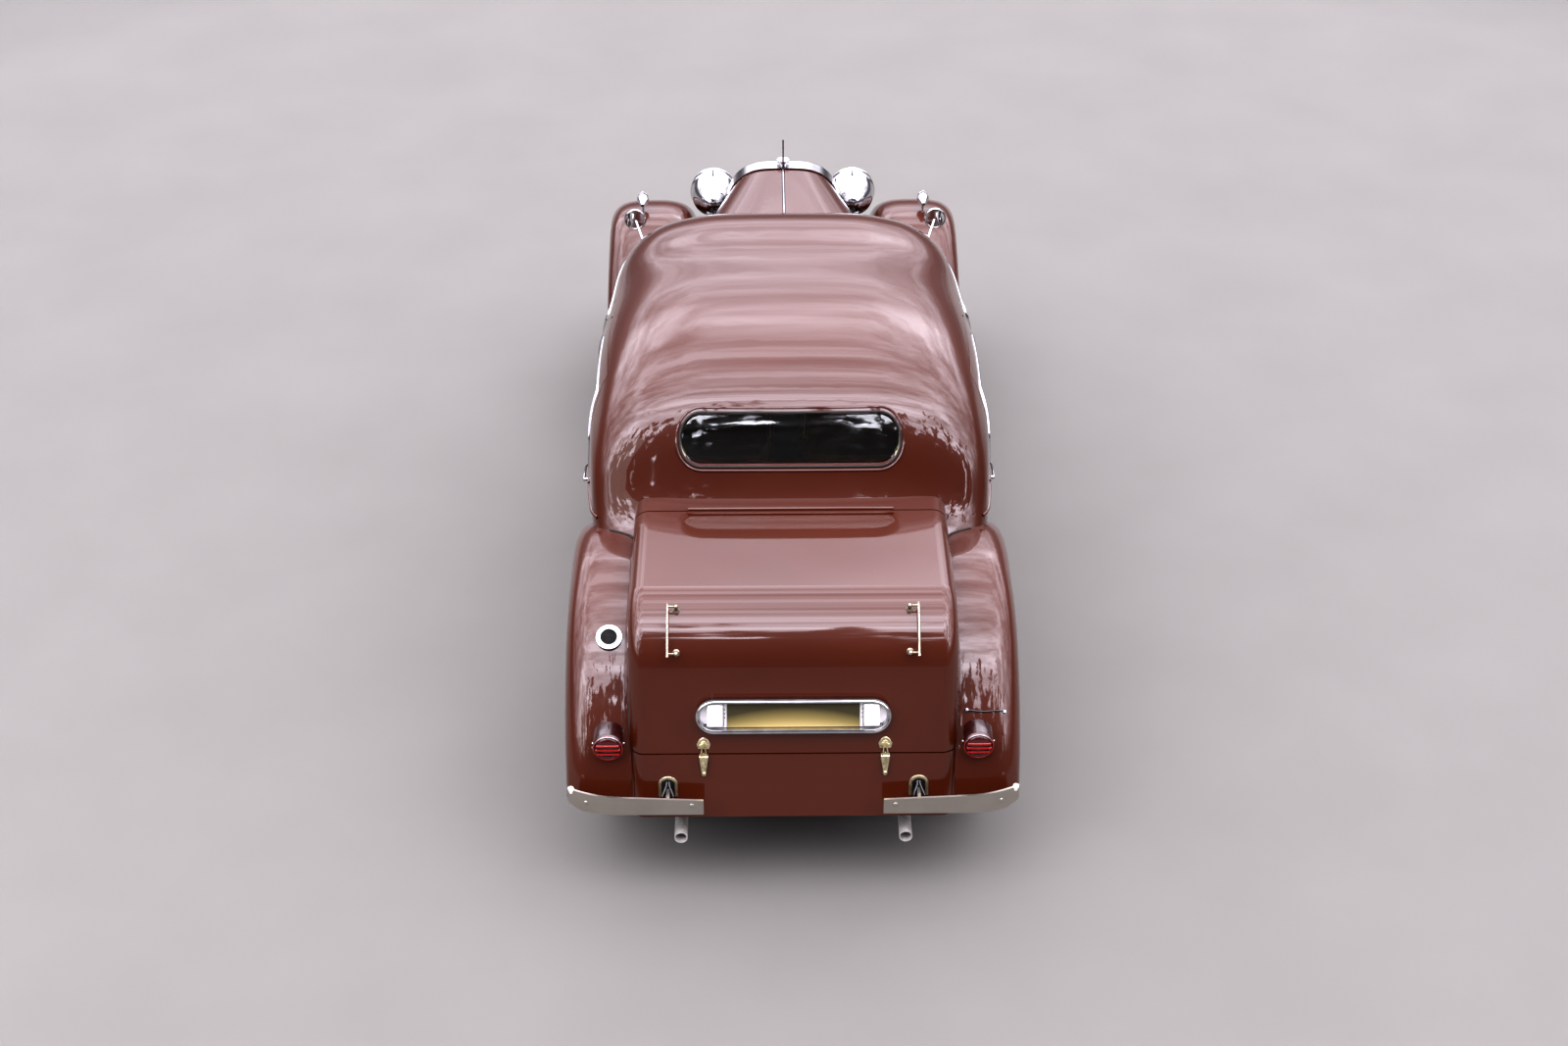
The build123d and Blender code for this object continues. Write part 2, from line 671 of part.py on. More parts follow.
def dome(inner, crest, outer, drop_in, drop_out, inset, turns):
    """Points across a wing from its inner to its outer edge, as distance out and height."""
    points = []
    for k in range(turns):
        a = math.pi / 2 * k / turns
        y = crest - (crest - inner - inset) * math.cos(a) ** (2 / WING_ROUND)
        points.append((y, -drop_in + (drop_in - inset) * math.sin(a) ** (2 / WING_ROUND)))
    for k in range(turns, -1, -1):
        a = math.pi / 2 * k / turns
        y = crest + (outer - inset - crest) * math.cos(a) ** (2 / WING_ROUND)
        points.append((y, -drop_out + (drop_out - inset) * math.sin(a) ** (2 / WING_ROUND)))
    return points


def crest_line(path_points, ends):
    """A smooth fore-and-aft curve through x, z points, with its two end directions."""
    reach = [0.0]
    for (x0, z0), (x1, z1) in zip(path_points, path_points[1:]):
        reach.append(reach[-1] + math.hypot(x1 - x0, z1 - z0))
    return Edge.make_spline(
        [Vector(x, 0, z) for x, z in path_points],
        tangents=[Vector(*e) * reach[-1] for e in ends],
        parameters=[r / reach[-1] for r in reach],
        scale=False,
    )


def wing_blade(path_points, spread, ends, insets=(0, WING_T), turns=6, by_length=False):
    """A left wing's sheet between two insets, lofted along its crest through sections of points."""
    path = crest_line(path_points, ends)
    wires = []
    for k in range(WING_STATIONS):
        t = k / (WING_STATIONS - 1)
        place, along = path @ t, path % t
        out = Vector(along.Z, 0, -along.X)
        if out.Z < 0:
            out = out * -1
        sizes = spread_at(spread, t)
        curves = []
        for inset in insets:
            across = dome(*sizes, inset, turns)
            points = [Vector(place.X, y, place.Z) + out * n for y, n in across]
            if curves:
                points = points[::-1]
            steps = [i / (len(points) - 1) for i in range(len(points))]
            if by_length:
                reach = [0.0]
                for a, b in zip(points, points[1:]):
                    reach.append(reach[-1] + (b - a).length)
                steps = [r / reach[-1] for r in reach]
            curves.append(Edge.make_spline(points, parameters=steps))
        top, under = curves
        wires.append(
            Wire([top, Edge.make_line(top @ 1, under @ 0), under, Edge.make_line(under @ 1, top @ 0)])
        )
    return Solid.make_loft(wires)


def wings(outer_clear, boot_clear, nose_clear):
    """Four wings and two running boards, with the holes that their fittings pass through."""
    rear = wing_blade(REAR_WING, REAR_SPREAD, REAR_WING_ENDS)
    rear = rear - outer_clear - boot_clear
    rear = largest(rear - span_box(-3000, 0, 0, 1000, 0, BOARD_Z[0]))
    rear_hole = largest(rear - stud(*TAIL_LAMP, LAMP_STUD_R + 0.1))
    left_rear = largest(rear_hole - filler_neck(NECK_R + 0.4))
    write("rear_wings", left_rear, mirrored(rear_hole))

    front = wing_blade(FRONT_WING, FRONT_SPREAD, FRONT_WING_ENDS, turns=4, by_length=True)
    for solid in nose_clear:
        front = largest(front - solid)
    front = largest(front - outer_clear)
    front = largest(front - span_box(0, 1300, 0, 1000, 0, BOARD_Z[0]))
    front = largest(front - lamp_bar(BAR_R + 0.1))
    front = largest(front - upright(*SIDE_LAMP, LAMP_STUD_R + 0.1))
    write("front_wings", front, mirrored(front))

    board = span_box(
        REAR_WING[0][0] + SEAT, FRONT_WING[-1][0] - SEAT, BOARD_Y[0], BOARD_Y[1], *BOARD_Z
    )
    long_edges = board.edges().filter_by(Axis.X).sort_by(Axis.Y)[-2:]
    board = board.fillet(10, long_edges)
    write("running_boards", board, mirrored(board))


# ---------------------------------------------------------------- lamps and fittings
TAIL_LAMP = (-2142, 688, 640)
TAIL_LAMP_R = 57
TAIL_LAMP_LEN = 58
LAMP_STUD_R = 6
SIDE_LAMP = (1725, 704, 1010)
SIDE_LAMP_R = 30
NECK_R = 30
NECK_TOP = (-1870, 690, 906)
NECK_LEAN = 31  # degrees back from upright
BAR_R = 13
BAR_X = 1800
BAR_Z = 800
BAR_HALF = 470
HEADLAMP = (1862, 352, 968)
HEADLAMP_R = 118
MIRROR = (680, 684, 1405)
MIRROR_R = 50
MIRROR_FOOT = (575, 640, 1330)


def stud(x, y, z, radius):
    """A fore-and-aft stud ahead of a lamp."""
    return rod((x - 5, y, z), (x + 140, y, z), radius)


def upright(x, y, z, radius):
    """An upright stud below a lamp."""
    return rod((x, y, z - 110), (x, y, z), radius)


def filler_neck(radius):
    """The filler's neck, leaning back through the left rear wing."""
    lean = math.radians(NECK_LEAN)
    x, y, z = NECK_TOP
    drop = 150
    return rod((x + drop * math.sin(lean), y, z - drop * math.cos(lean)), (x, y, z), radius)


def lamp_bar(radius):
    """The bar between the front wings."""
    return rod((BAR_X, -BAR_HALF, BAR_Z), (BAR_X, BAR_HALF, BAR_Z), radius)


def lamps_and_fittings():
    """Headlamps on their bar, side lamps, tail lamps, mirrors and the filler."""
    x, y, z = HEADLAMP
    bowl_rear, bowl_front = x - 130, x + 80
    profile = Wire([
        Edge.make_spline(
            [Vector(bowl_rear, y, z), Vector(x - 112, y, z + 46), Vector(x - 50, y, z + 94),
             Vector(x + 30, y, z + HEADLAMP_R - 4)], tangents=[Vector(0, 0, 1), Vector(1, 0, 0.12)]),
        *Wire.make_polygon(
            [Vector(x + 30, y, z + HEADLAMP_R - 4), Vector(x + 40, y, z + HEADLAMP_R),
             Vector(x + 62, y, z + HEADLAMP_R), Vector(bowl_front, y, z + HEADLAMP_R - 16),
             Vector(bowl_front, y, z), Vector(bowl_rear, y, z)], close=False).edges(),
    ])  # fmt: skip
    lamp = revolve(Face(profile), axis=Axis((x, y, z), (1, 0, 0)), revolution_arc=360).solid()
    leg = rod((BAR_X, y, BAR_Z), (BAR_X, y, z - 60), 15)
    headlamps = fused(lamp_bar(BAR_R), leg, lamp, mirrored(leg), mirrored(lamp)).solid()

    x, y, z = SIDE_LAMP
    body = Solid.make_sphere(SIDE_LAMP_R, Plane((x, y, z)))
    tail = Solid.make_cone(SIDE_LAMP_R - 1, 8, 62, Plane(origin=(x - 6, y, z), z_dir=(-1, 0, 0)))
    lamp = fused(body, tail, upright(x, y, z, LAMP_STUD_R)).solid()
    write("front_lamps", headlamps, lamp, mirrored(lamp))

    x, y, z = TAIL_LAMP
    drum = rod((x - TAIL_LAMP_LEN, y, z), (x + 30, y, z), TAIL_LAMP_R)
    drum = drum.fillet(14, [e for e in drum.edges() if e.center().X < x - 40])
    around_wing = wing_blade(REAR_WING, REAR_SPREAD, REAR_WING_ENDS, (-SEAT, 60))
    drum = min((drum - around_wing).solids(), key=lambda s: s.center().X)
    lamp = fused(drum, stud(x, y, z, LAMP_STUD_R)).solid()
    write("tail_lamps", lamp, mirrored(lamp))

    lean = math.radians(NECK_LEAN)
    x, y, z = NECK_TOP
    back, up = -math.sin(lean), math.cos(lean)
    ring = rod((x, y, z), (x + 9 * back, y, z + 9 * up), 49)
    neck = fused(filler_neck(NECK_R), ring).solid()
    dish = rod((x - 6 * back, y, z - 6 * up), (x + 20 * back, y, z + 20 * up), 27)
    write("fuel_filler", (neck - dish).solid())

    x, y, z = MIRROR
    glass = rod((x, y, z), (x + 16, y, z), MIRROR_R)
    glass = glass.fillet(9, [e for e in glass.edges() if e.center().X > x + 12])
    arm = rod((x + 8, y, z), MIRROR_FOOT, 6)
    mirror_left = fused(glass, arm) - cabin_solid(-SEAT)
    mirror_left = largest(mirror_left)
    write("mirrors", mirror_left, mirrored(mirror_left))


# ---------------------------------------------------------------- bumpers
BLADE_H = 92
BLADE_INNER_H = 66
BLADE_Z = 402
BLADE_T = 9
BLADE_IN = 335
BLADE_OUT = 842
BLADE_WRAP = 62
FRONT_BLADE_H = 96


def bumpers():
    """Full-width front blade and two rear quarter blades, each on its irons."""
    tail = -LENGTH / 2
    straight = Edge.make_line(Vector(tail, BLADE_IN, BLADE_Z), Vector(tail, 640, BLADE_Z))
    curve = Edge.make_three_point_arc(
        Vector(tail, 640, BLADE_Z), Vector(tail + 12, 746, BLADE_Z),
        Vector(tail + BLADE_WRAP * 0.8, BLADE_OUT, BLADE_Z),
    )  # fmt: skip
    inner = [
        Edge.make_three_point_arc(
            Vector(tail + BLADE_WRAP * 0.8 + BLADE_T, BLADE_OUT - 2, BLADE_Z),
            Vector(tail + 12 + BLADE_T, 746, BLADE_Z), Vector(tail + BLADE_T, 640, BLADE_Z),
        ),
        Edge.make_line(
            Vector(tail + BLADE_T, 640, BLADE_Z), Vector(tail + BLADE_T, BLADE_IN, BLADE_Z)
        ),
    ]  # fmt: skip
    ends = [
        Edge.make_line(curve @ 1, inner[0] @ 0),
        Edge.make_line(inner[1] @ 1, straight @ 0),
    ]
    face = Face(Wire([straight, curve, ends[0], *inner, ends[1]]))
    blade = extrude(face, amount=BLADE_H, dir=(0, 0, 1)).solid()
    corners = [
        (BLADE_IN - 1, BLADE_Z), (BLADE_OUT - 50, BLADE_Z), (BLADE_OUT + 20, BLADE_Z + 36),
        (BLADE_OUT + 20, BLADE_Z + BLADE_H), (BLADE_IN - 1, BLADE_Z + BLADE_INNER_H),
    ]  # fmt: skip
    front_view = Face(Wire.make_polygon([Vector(tail - 10, y, z) for y, z in corners], close=True))
    blade = (blade & extrude(front_view, amount=200, dir=(1, 0, 0)).solid()).solid()
    iron_y = RAIL_Y_REAR + RAIL_W / 2
    iron = span_box(tail + BLADE_T - 1, RAIL_REAR_X + 70, iron_y, iron_y + 12, 420, 462)
    rear = fused(blade, iron).solid()

    nose = LENGTH / 2
    bow = 70
    outer = Edge.make_three_point_arc(
        Vector(nose - bow, -850, 396), Vector(nose, 0, 396), Vector(nose - bow, 850, 396)
    )
    back = Edge.make_three_point_arc(
        Vector(nose - bow - 10, 850, 396), Vector(nose - 10, 0, 396), Vector(nose - bow - 10, -850, 396)
    )
    face = Face(Wire([outer, Edge.make_line(outer @ 1, back @ 0), back, Edge.make_line(back @ 1, outer @ 0)]))
    blade = extrude(face, amount=FRONT_BLADE_H, dir=(0, 0, 1)).solid()
    iron_y = RAIL_Y_FRONT - RAIL_W / 2
    iron = span_box(RAIL_FRONT_X - 100, nose - 15, iron_y - 12, iron_y, 424, 472)
    write("bumpers", fused(blade, iron, mirrored(iron)).solid(), rear, mirrored(rear))


# ---------------------------------------------------------------- frame and running gear
SPRING_FRONT_HALF = 480
SPRING_REAR_HALF = 570
SPRING_RISE = 44
PIPE_R = 25
PIPE_Y = 425
PIPE_Z = 246
PIPE_END_X = -2250
SILENCER_R = 62


def rail_y(x):
    """Centre line of the left rail at x."""
    start, end = 1300, 300
    if x >= start:
        return RAIL_Y_FRONT
    if x <= end:
        return RAIL_Y_REAR
    return RAIL_Y_FRONT + (RAIL_Y_REAR - RAIL_Y_FRONT) * (start - x) / (start - end)


def chassis():
    """Two rails joined by cross-members, with spring pins, outriggers and pipe straps."""
    knots = [RAIL_FRONT_X, 1300, 300, RAIL_REAR_X]
    near = [(x, rail_y(x) - RAIL_W / 2) for x in knots]
    far = [(x, rail_y(x) + RAIL_W / 2) for x in reversed(knots)]
    rail = plan_prism(near + far, RAIL_Z, RAIL_TOP)
    pieces = [rail, mirrored(rail)]
    for x, width, z0, z1 in (
        (2060, 50, 440, RAIL_TOP), (1690, 110, 440, RAIL_TOP), (1120, 60, 401, 440),
        (250, 60, 445, RAIL_TOP - 1), (-800, 60, 445, RAIL_TOP - 1), (-2120, 60, 440, RAIL_TOP - 1),
    ):  # fmt: skip
        reach = rail_y(x)
        pieces.append(span_box(x - width / 2, x + width / 2, -reach, reach, z0, z1))
    for x in (430, -760):
        reach = BOARD_Y[1] - 80
        beam = span_box(x - 20, x + 20, rail_y(x), reach, BOARD_Z[1] + SEAT, SILL_Z - SEAT)
        root = span_box(x - 20, x + 20, rail_y(x), rail_y(x) + 60, BOARD_Z[1] + SEAT, RAIL_Z + 30)
        pieces += [beam, root, mirrored(beam), mirrored(root)]
    for x, half, y in (
        (FRONT_AXLE_X, SPRING_FRONT_HALF, RAIL_Y_FRONT),
        (REAR_AXLE_X, SPRING_REAR_HALF, RAIL_Y_REAR),
    ):
        for end in (-1, 1):
            pin_x = x + end * (half - 22)
            pin = disc(9, y, y + RAIL_W / 2 + SPRING_GAP, pin_x, spring_middle_z(half - 22, half))
            pieces += [pin, mirrored(pin)]
    for x in (150, -1750):
        strap = span_box(x - 12, x + 12, PIPE_Y - 10, PIPE_Y + 10, PIPE_Z + PIPE_R - 1, RAIL_Z + 5)
        block = strap - disc_x(PIPE_R + SEAT, x - 20, x + 20)
        reach = fused(block, span_box(x - 12, x + 12, PIPE_Y - 10, RAIL_Y_REAR, RAIL_Z + 1, RAIL_Z + 12))
        pieces += [reach, mirrored(reach)]
    write("chassis_frame", fused(*pieces).solid())


def disc_x(radius, x0, x1):
    """A bar along the left exhaust pipe's line."""
    return rod((x0, PIPE_Y, PIPE_Z), (x1, PIPE_Y, PIPE_Z), radius)


def spring_middle_z(offset, half):
    """Height of a spring's middle line at a distance from its axle."""
    seat = TYRE_R + AXLE_TUBE_R + 9 + SEAT
    return seat + SPRING_T / 2 + SPRING_RISE * (offset / half) ** 2


def leaf_springs():
    """Four half-elliptic springs over the axles."""
    made = []
    for x, half, y in (
        (FRONT_AXLE_X, SPRING_FRONT_HALF, RAIL_Y_FRONT),
        (REAR_AXLE_X, SPRING_REAR_HALF, RAIL_Y_REAR),
    ):
        inner_y = y + RAIL_W / 2 + SPRING_GAP
        low = spring_middle_z(0, half) - SPRING_T / 2
        end = spring_middle_z(half, half)
        bottom = Edge.make_three_point_arc(
            Vector(x - half, inner_y, end - 12), Vector(x, inner_y, low), Vector(x + half, inner_y, end - 12)
        )
        top = Edge.make_three_point_arc(
            Vector(x + half, inner_y, end + 12), Vector(x, inner_y, low + SPRING_T), Vector(x - half, inner_y, end + 12)
        )
        face = Face(Wire([bottom, Edge.make_line(bottom @ 1, top @ 0), top, Edge.make_line(top @ 1, bottom @ 0)]))
        spring = extrude(face, amount=SPRING_W, dir=(0, 1, 0)).solid()
        made += [spring, mirrored(spring)]
    return made


def spring_pad(x, y):
    """The pad that a spring sits on, over an axle."""
    inner = y + RAIL_W / 2 + SPRING_GAP
    top = spring_middle_z(0, 1) - SPRING_T / 2 - SEAT
    return span_box(x - 40, x + 40, inner, inner + SPRING_W, TYRE_R, top)


def axles():
    """Live rear axle with its shaft, and the front beam with its kingpin eyes."""
    x, z = REAR_AXLE_X, TYRE_R
    plate_y = WHEEL_Y + DRUM_IN - DRUM_GAP
    tube_solid = disc(AXLE_TUBE_R, -plate_y, plate_y, x, z)
    casing = Solid.make_sphere(DIFF_R, Plane((x, 0, z)))
    pieces = [tube_solid, casing]
    for side in (1, -1):
        pieces.append(disc(STUB_R, side * plate_y, side * (WHEEL_Y + STUB_END), x, z))
        pieces.append(disc(DRUM_R - 4, side * (plate_y - 6), side * plate_y, x, z))
    pad = spring_pad(x, RAIL_Y_REAR)
    shaft = rod((x + 60, 0, z + 8), (SHAFT_FRONT_X, 0, 408), SHAFT_R)
    write("rear_axle", fused(*pieces, pad, mirrored(pad), shaft).solid())

    x = FRONT_AXLE_X
    beam = span_box(x - 24, x + 24, -KINGPIN_Y, KINGPIN_Y, z - 26, z + 26)
    channel = span_box(x - 30, x - 9, -KINGPIN_Y + 60, KINGPIN_Y - 60, z - 15, z + 15)
    beam = beam - channel - Location((39, 0, 0)) * channel
    pieces = [beam]
    for side in (1, -1):
        y = side * KINGPIN_Y
        pieces.append(rod((x, y, z - AXLE_EYE_H / 2), (x, y, z + AXLE_EYE_H / 2), AXLE_EYE_R))
    pad = spring_pad(x, RAIL_Y_FRONT)
    whole = fused(*pieces, pad, mirrored(pad)).solid()
    for side in (1, -1):
        y = side * KINGPIN_Y
        whole -= rod((x, y, z - 100), (x, y, z + 100), KINGPIN_R + RUN)
        clear = span_box(x - 60, x + 60, min(y, y * 1.1), max(y, y * 1.1), z - 40, z + 40)
        whole -= clear - rod((x, y, z - 60), (x, y, z + 60), AXLE_EYE_R)
    write("front_axle", whole.solid())


def knuckle():
    """Left steering knuckle: fork, kingpin, stub, brake plate and steering arm."""
    x, y, z = FRONT_AXLE_X, KINGPIN_Y, TYRE_R
    gap = SEAT
    half = AXLE_EYE_H / 2 + gap
    ear = 22
    pin = rod((x, y, z - half - ear), (x, y, z + half + ear), KINGPIN_R)
    pieces = [pin]
    web_y0, web_y1 = y + AXLE_EYE_R + 2, WHEEL_Y + DRUM_IN - DRUM_GAP
    for low in (z - half - ear, z + half):
        pieces.append(rod((x, y, low), (x, y, low + ear), AXLE_EYE_R))
        pieces.append(span_box(x - 24, x + 24, y, web_y1, low, low + ear))
    pieces.append(span_box(x - 24, x + 24, web_y0, web_y1, z - half - ear, z + half + ear))
    pieces.append(disc(DRUM_R - 4, web_y1 - 6, web_y1, x, z))
    pieces.append(disc(STUB_R, web_y1 - 2, WHEEL_Y + STUB_END, x, z))
    arm_x, arm_y = x - ARM_BACK, y
    boss_z = z - ARM_DROP
    pieces.append(rod((arm_x, arm_y, boss_z - 12), (arm_x, arm_y, boss_z + 12), ROD_EYE_R))
    arm = plan_prism(
        [(x - 6, y - 15), (x - 6, y + 15), (arm_x, arm_y + 11), (arm_x, arm_y - 11)],
        boss_z - 9, boss_z + 9,
    )  # fmt: skip
    pieces.append(arm)
    low_pin = rod((arm_x, arm_y, boss_z - 42), (arm_x, arm_y, boss_z), ROD_PIN_R)
    pieces.append(low_pin)
    return fused(*pieces).solid()


def track_rod():
    """Cross rod under the two steering arms. Its right eye is the linkage's open end."""
    x, y = FRONT_AXLE_X - ARM_BACK, KINGPIN_Y
    top = TYRE_R - ARM_DROP - 12 - SEAT
    z = top - 15
    bar = rod((x, -y, z), (x, y, z), ROD_R)
    eyes = [rod((x, side * y, top - 30), (x, side * y, top), ROD_EYE_R) for side in (1, -1)]
    whole = fused(bar, *eyes).solid()
    whole -= rod((x, y, top - 60), (x, y, top + 10), ROD_PIN_R + RUN)
    whole -= rod((x, -y, top - 60), (x, -y, top + 10), ROD_PIN_R + OPEN_EYE_SLACK)
    return whole.solid()


def wheel():
    """Left wheel about its centre: well rim, spoke cones, hub and brake drum."""
    def ring(r0, r1, y0, y1):
        return disc(r1, y0, y1) - disc(r0, y0 - 1, y1 + 1)

    half = RIM_W / 2
    rim = ring(BEAD_R - 14, BEAD_R - SEAT, -half, half)
    flanges = [ring(BEAD_R - 14, BEAD_R + 12, half - 6, half), ring(BEAD_R - 14, BEAD_R + 12, -half, 6 - half)]
    section = [(HUB_R - 4, 52), (BEAD_R - 10, 14), (BEAD_R - 10, 4), (HUB_R - 4, 38)]
    face = Face(Wire.make_polygon([Vector(r, y, 0) for r, y in section], close=True))
    cone = revolve(face, axis=Axis.Y, revolution_arc=360).solid()
    hub = disc(HUB_R, HUB_IN, HUB_OUT)
    drum = disc(DRUM_R, DRUM_IN, DRUM_OUT) - disc(DRUM_R - 10, DRUM_IN - 1, DRUM_OUT - 8)
    whole = fused(rim, *flanges, cone, hub, drum).solid()
    whole -= disc(STUB_R + RUN, HUB_IN - 40, STUB_END + 2)
    return whole.solid()


def tyre():
    """Tyre with rounded walls and a slightly crowned tread, about its centre."""
    bead = RIM_W / 2 - 6 - SEAT
    foot, shoulder, edge = (BEAD_R + 13, bead), (338, 64), (351, 50)

    def arc(start, middle, end, side):
        return Edge.make_three_point_arc(*[Vector(r, side * y, 0) for r, y in (start, middle, end)])

    edges = []
    for side in (1, -1):
        edges.append(Edge.make_line(Vector(BEAD_R, side * bead, 0), Vector(foot[0], side * bead, 0)))
        edges.append(arc(foot, (290, TYRE_W / 2), shoulder, side))
        edges.append(arc(shoulder, (347, 58), edge, side))
    tread = Edge.make_three_point_arc(
        Vector(edge[0], edge[1], 0), Vector(TYRE_R, 0, 0), Vector(edge[0], -edge[1], 0)
    )
    seat = Edge.make_line(Vector(BEAD_R, bead, 0), Vector(BEAD_R, -bead, 0))
    return revolve(Face(Wire(edges + [tread, seat])), axis=Axis.Y, revolution_arc=360).solid()


def running_gear():
    """Wheels, tyres, knuckles, springs, axles and track rod."""
    left_wheel, round_tyre = wheel(), tyre()
    for place, x in (("front", FRONT_AXLE_X), ("rear", REAR_AXLE_X)):
        for side, y in (("left", WHEEL_Y), ("right", -WHEEL_Y)):
            turned = left_wheel if y > 0 else mirrored(left_wheel)
            write(f"wheel_{place}_{side}", Location((x, y, TYRE_R)) * turned)
            write(f"tyre_{place}_{side}", Location((x, y, TYRE_R)) * round_tyre)
    left = knuckle()
    write("knuckle_left", left)
    write("knuckle_right", mirrored(left))
    write("track_rod", track_rod())
    write("leaf_springs", *leaf_springs())
    axles()


def engine_and_exhaust():
    """Engine as one plain block, fuel tank, and two exhaust pipes with silencers."""
    engine = span_box(960, 1590, -150, 150, 440 + SEAT, 1030)
    write("engine_block", engine)
    tank = span_box(-2080, -1700, -360, 360, 372, RAIL_TOP - 62)
    tank = tank.fillet(24, tank.edges().filter_by(Axis.Y))
    straps = [
        span_box(x - 12, x + 12, -RAIL_Y_REAR + RAIL_W / 2 + SEAT, RAIL_Y_REAR - RAIL_W / 2 - SEAT, RAIL_TOP - 66, RAIL_TOP - 58)
        for x in (-1790, -1990)
    ]
    write("fuel_tank", fused(tank, *straps).solid())
    pipe = disc_x(PIPE_R, PIPE_END_X, 1000) - disc_x(PIPE_R - 3, PIPE_END_X - 1, -1900)
    silencer = disc_x(SILENCER_R, -650, 40)
    system = fused(pipe, silencer).solid()
    write("exhaust_pipes", system, mirrored(system))


def main():
    """Builds every node."""
    os.makedirs("parts", exist_ok=True)
    outer = cabin_solid(0)
    outer_clear = cabin_solid(-SEAT)

    cavity = cabin_solid(WALL) & span_box(TAIL_WALL_X, 2000, -900, 900, 0, 2000)
    for space in wheelhouse(WHEELHOUSE_R + WHEELHOUSE_T, WHEELHOUSE_Y - WHEELHOUSE_T):
        cavity -= space
    cabin(outer, cavity)
    scuttle_and_floor()
    write("seats", *seats())
    bonnet()
    radiator()
    boot(outer_clear)
    boot_clear = boot_prism(SEAT, BOOT_HALF + SEAT, BOOT_EDGE)
    wings(outer_clear, boot_clear, [
        nose_solid(grown_stations(SCUTTLE, SEAT), 0, 40),
        nose_solid(grown_stations(BONNET, SEAT), 0),
    ])  # fmt: skip
    lamps_and_fittings()
    bumpers()
    chassis()
    running_gear()
    engine_and_exhaust()


main()
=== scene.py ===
"""Looks for the vintage saloon: finishes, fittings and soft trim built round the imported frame.

Metres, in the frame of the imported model: +X forward, +Y the car's left, +Z up, ground at zero.
"""

import json
import logging
import math
from dataclasses import dataclass, field
from enum import Enum
from typing import Sequence

import bmesh
import bpy
from mathutils import Matrix, Vector
from mathutils.bvhtree import BVHTree

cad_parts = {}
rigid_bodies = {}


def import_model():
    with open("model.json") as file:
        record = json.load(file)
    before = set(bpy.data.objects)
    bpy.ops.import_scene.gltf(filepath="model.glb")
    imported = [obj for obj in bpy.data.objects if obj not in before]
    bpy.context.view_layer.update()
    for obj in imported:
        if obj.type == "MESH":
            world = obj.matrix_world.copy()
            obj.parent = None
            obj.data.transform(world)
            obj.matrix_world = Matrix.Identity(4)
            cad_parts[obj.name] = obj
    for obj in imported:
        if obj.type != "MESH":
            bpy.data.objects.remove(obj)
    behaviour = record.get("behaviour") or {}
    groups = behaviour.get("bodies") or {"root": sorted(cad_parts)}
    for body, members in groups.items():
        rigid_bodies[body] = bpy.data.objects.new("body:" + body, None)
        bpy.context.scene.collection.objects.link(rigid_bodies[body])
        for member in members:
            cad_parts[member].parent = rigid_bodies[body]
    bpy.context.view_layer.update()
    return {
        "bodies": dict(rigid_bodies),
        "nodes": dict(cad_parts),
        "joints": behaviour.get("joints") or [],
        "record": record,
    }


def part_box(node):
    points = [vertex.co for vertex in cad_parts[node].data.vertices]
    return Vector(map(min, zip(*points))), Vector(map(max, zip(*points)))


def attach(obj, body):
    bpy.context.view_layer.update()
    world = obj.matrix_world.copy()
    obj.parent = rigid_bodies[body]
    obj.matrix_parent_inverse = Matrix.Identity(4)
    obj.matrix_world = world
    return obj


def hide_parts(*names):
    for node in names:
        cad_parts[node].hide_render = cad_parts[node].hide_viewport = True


Pair = tuple[float, float]
Place = tuple[float, float, float]
Colour = tuple[float, float, float, float]
Outline = Sequence[Pair]
Stops = tuple[Pair, ...]

LOG = logging.getLogger("saloon")
SIDES = {"left": 1.0, "right": -1.0}
X, Y, Z = Vector((1, 0, 0)), Vector((0, 1, 0)), Vector((0, 0, 1))
RIGHT, DOWN, BACK = -Y, -Z, -X
BEHIND = -2.6  # well behind the tail, where lines of sight start
BESIDE = 1.2  # well outside either flank
CREASE = 35.0  # edges sharper than so many degrees stay sharp
WELD = 0.00002  # points closer than this are one


# ---------------------------------------------------------------- colour and nodes
def linear(code: str, alpha: float = 1.0) -> Colour:
    """Turns an sRGB hex code into linear colour.

    Args:
        code: six hex digits with a leading hash.
        alpha: opacity, kept as it is.

    Returns:
        Red, green, blue and alpha.
    """
    channels = (int(code[i : i + 2], 16) / 255 for i in (1, 3, 5))
    r, g, b = (c / 12.92 if c <= 0.04045 else ((c + 0.055) / 1.055) ** 2.4 for c in channels)
    return r, g, b, alpha


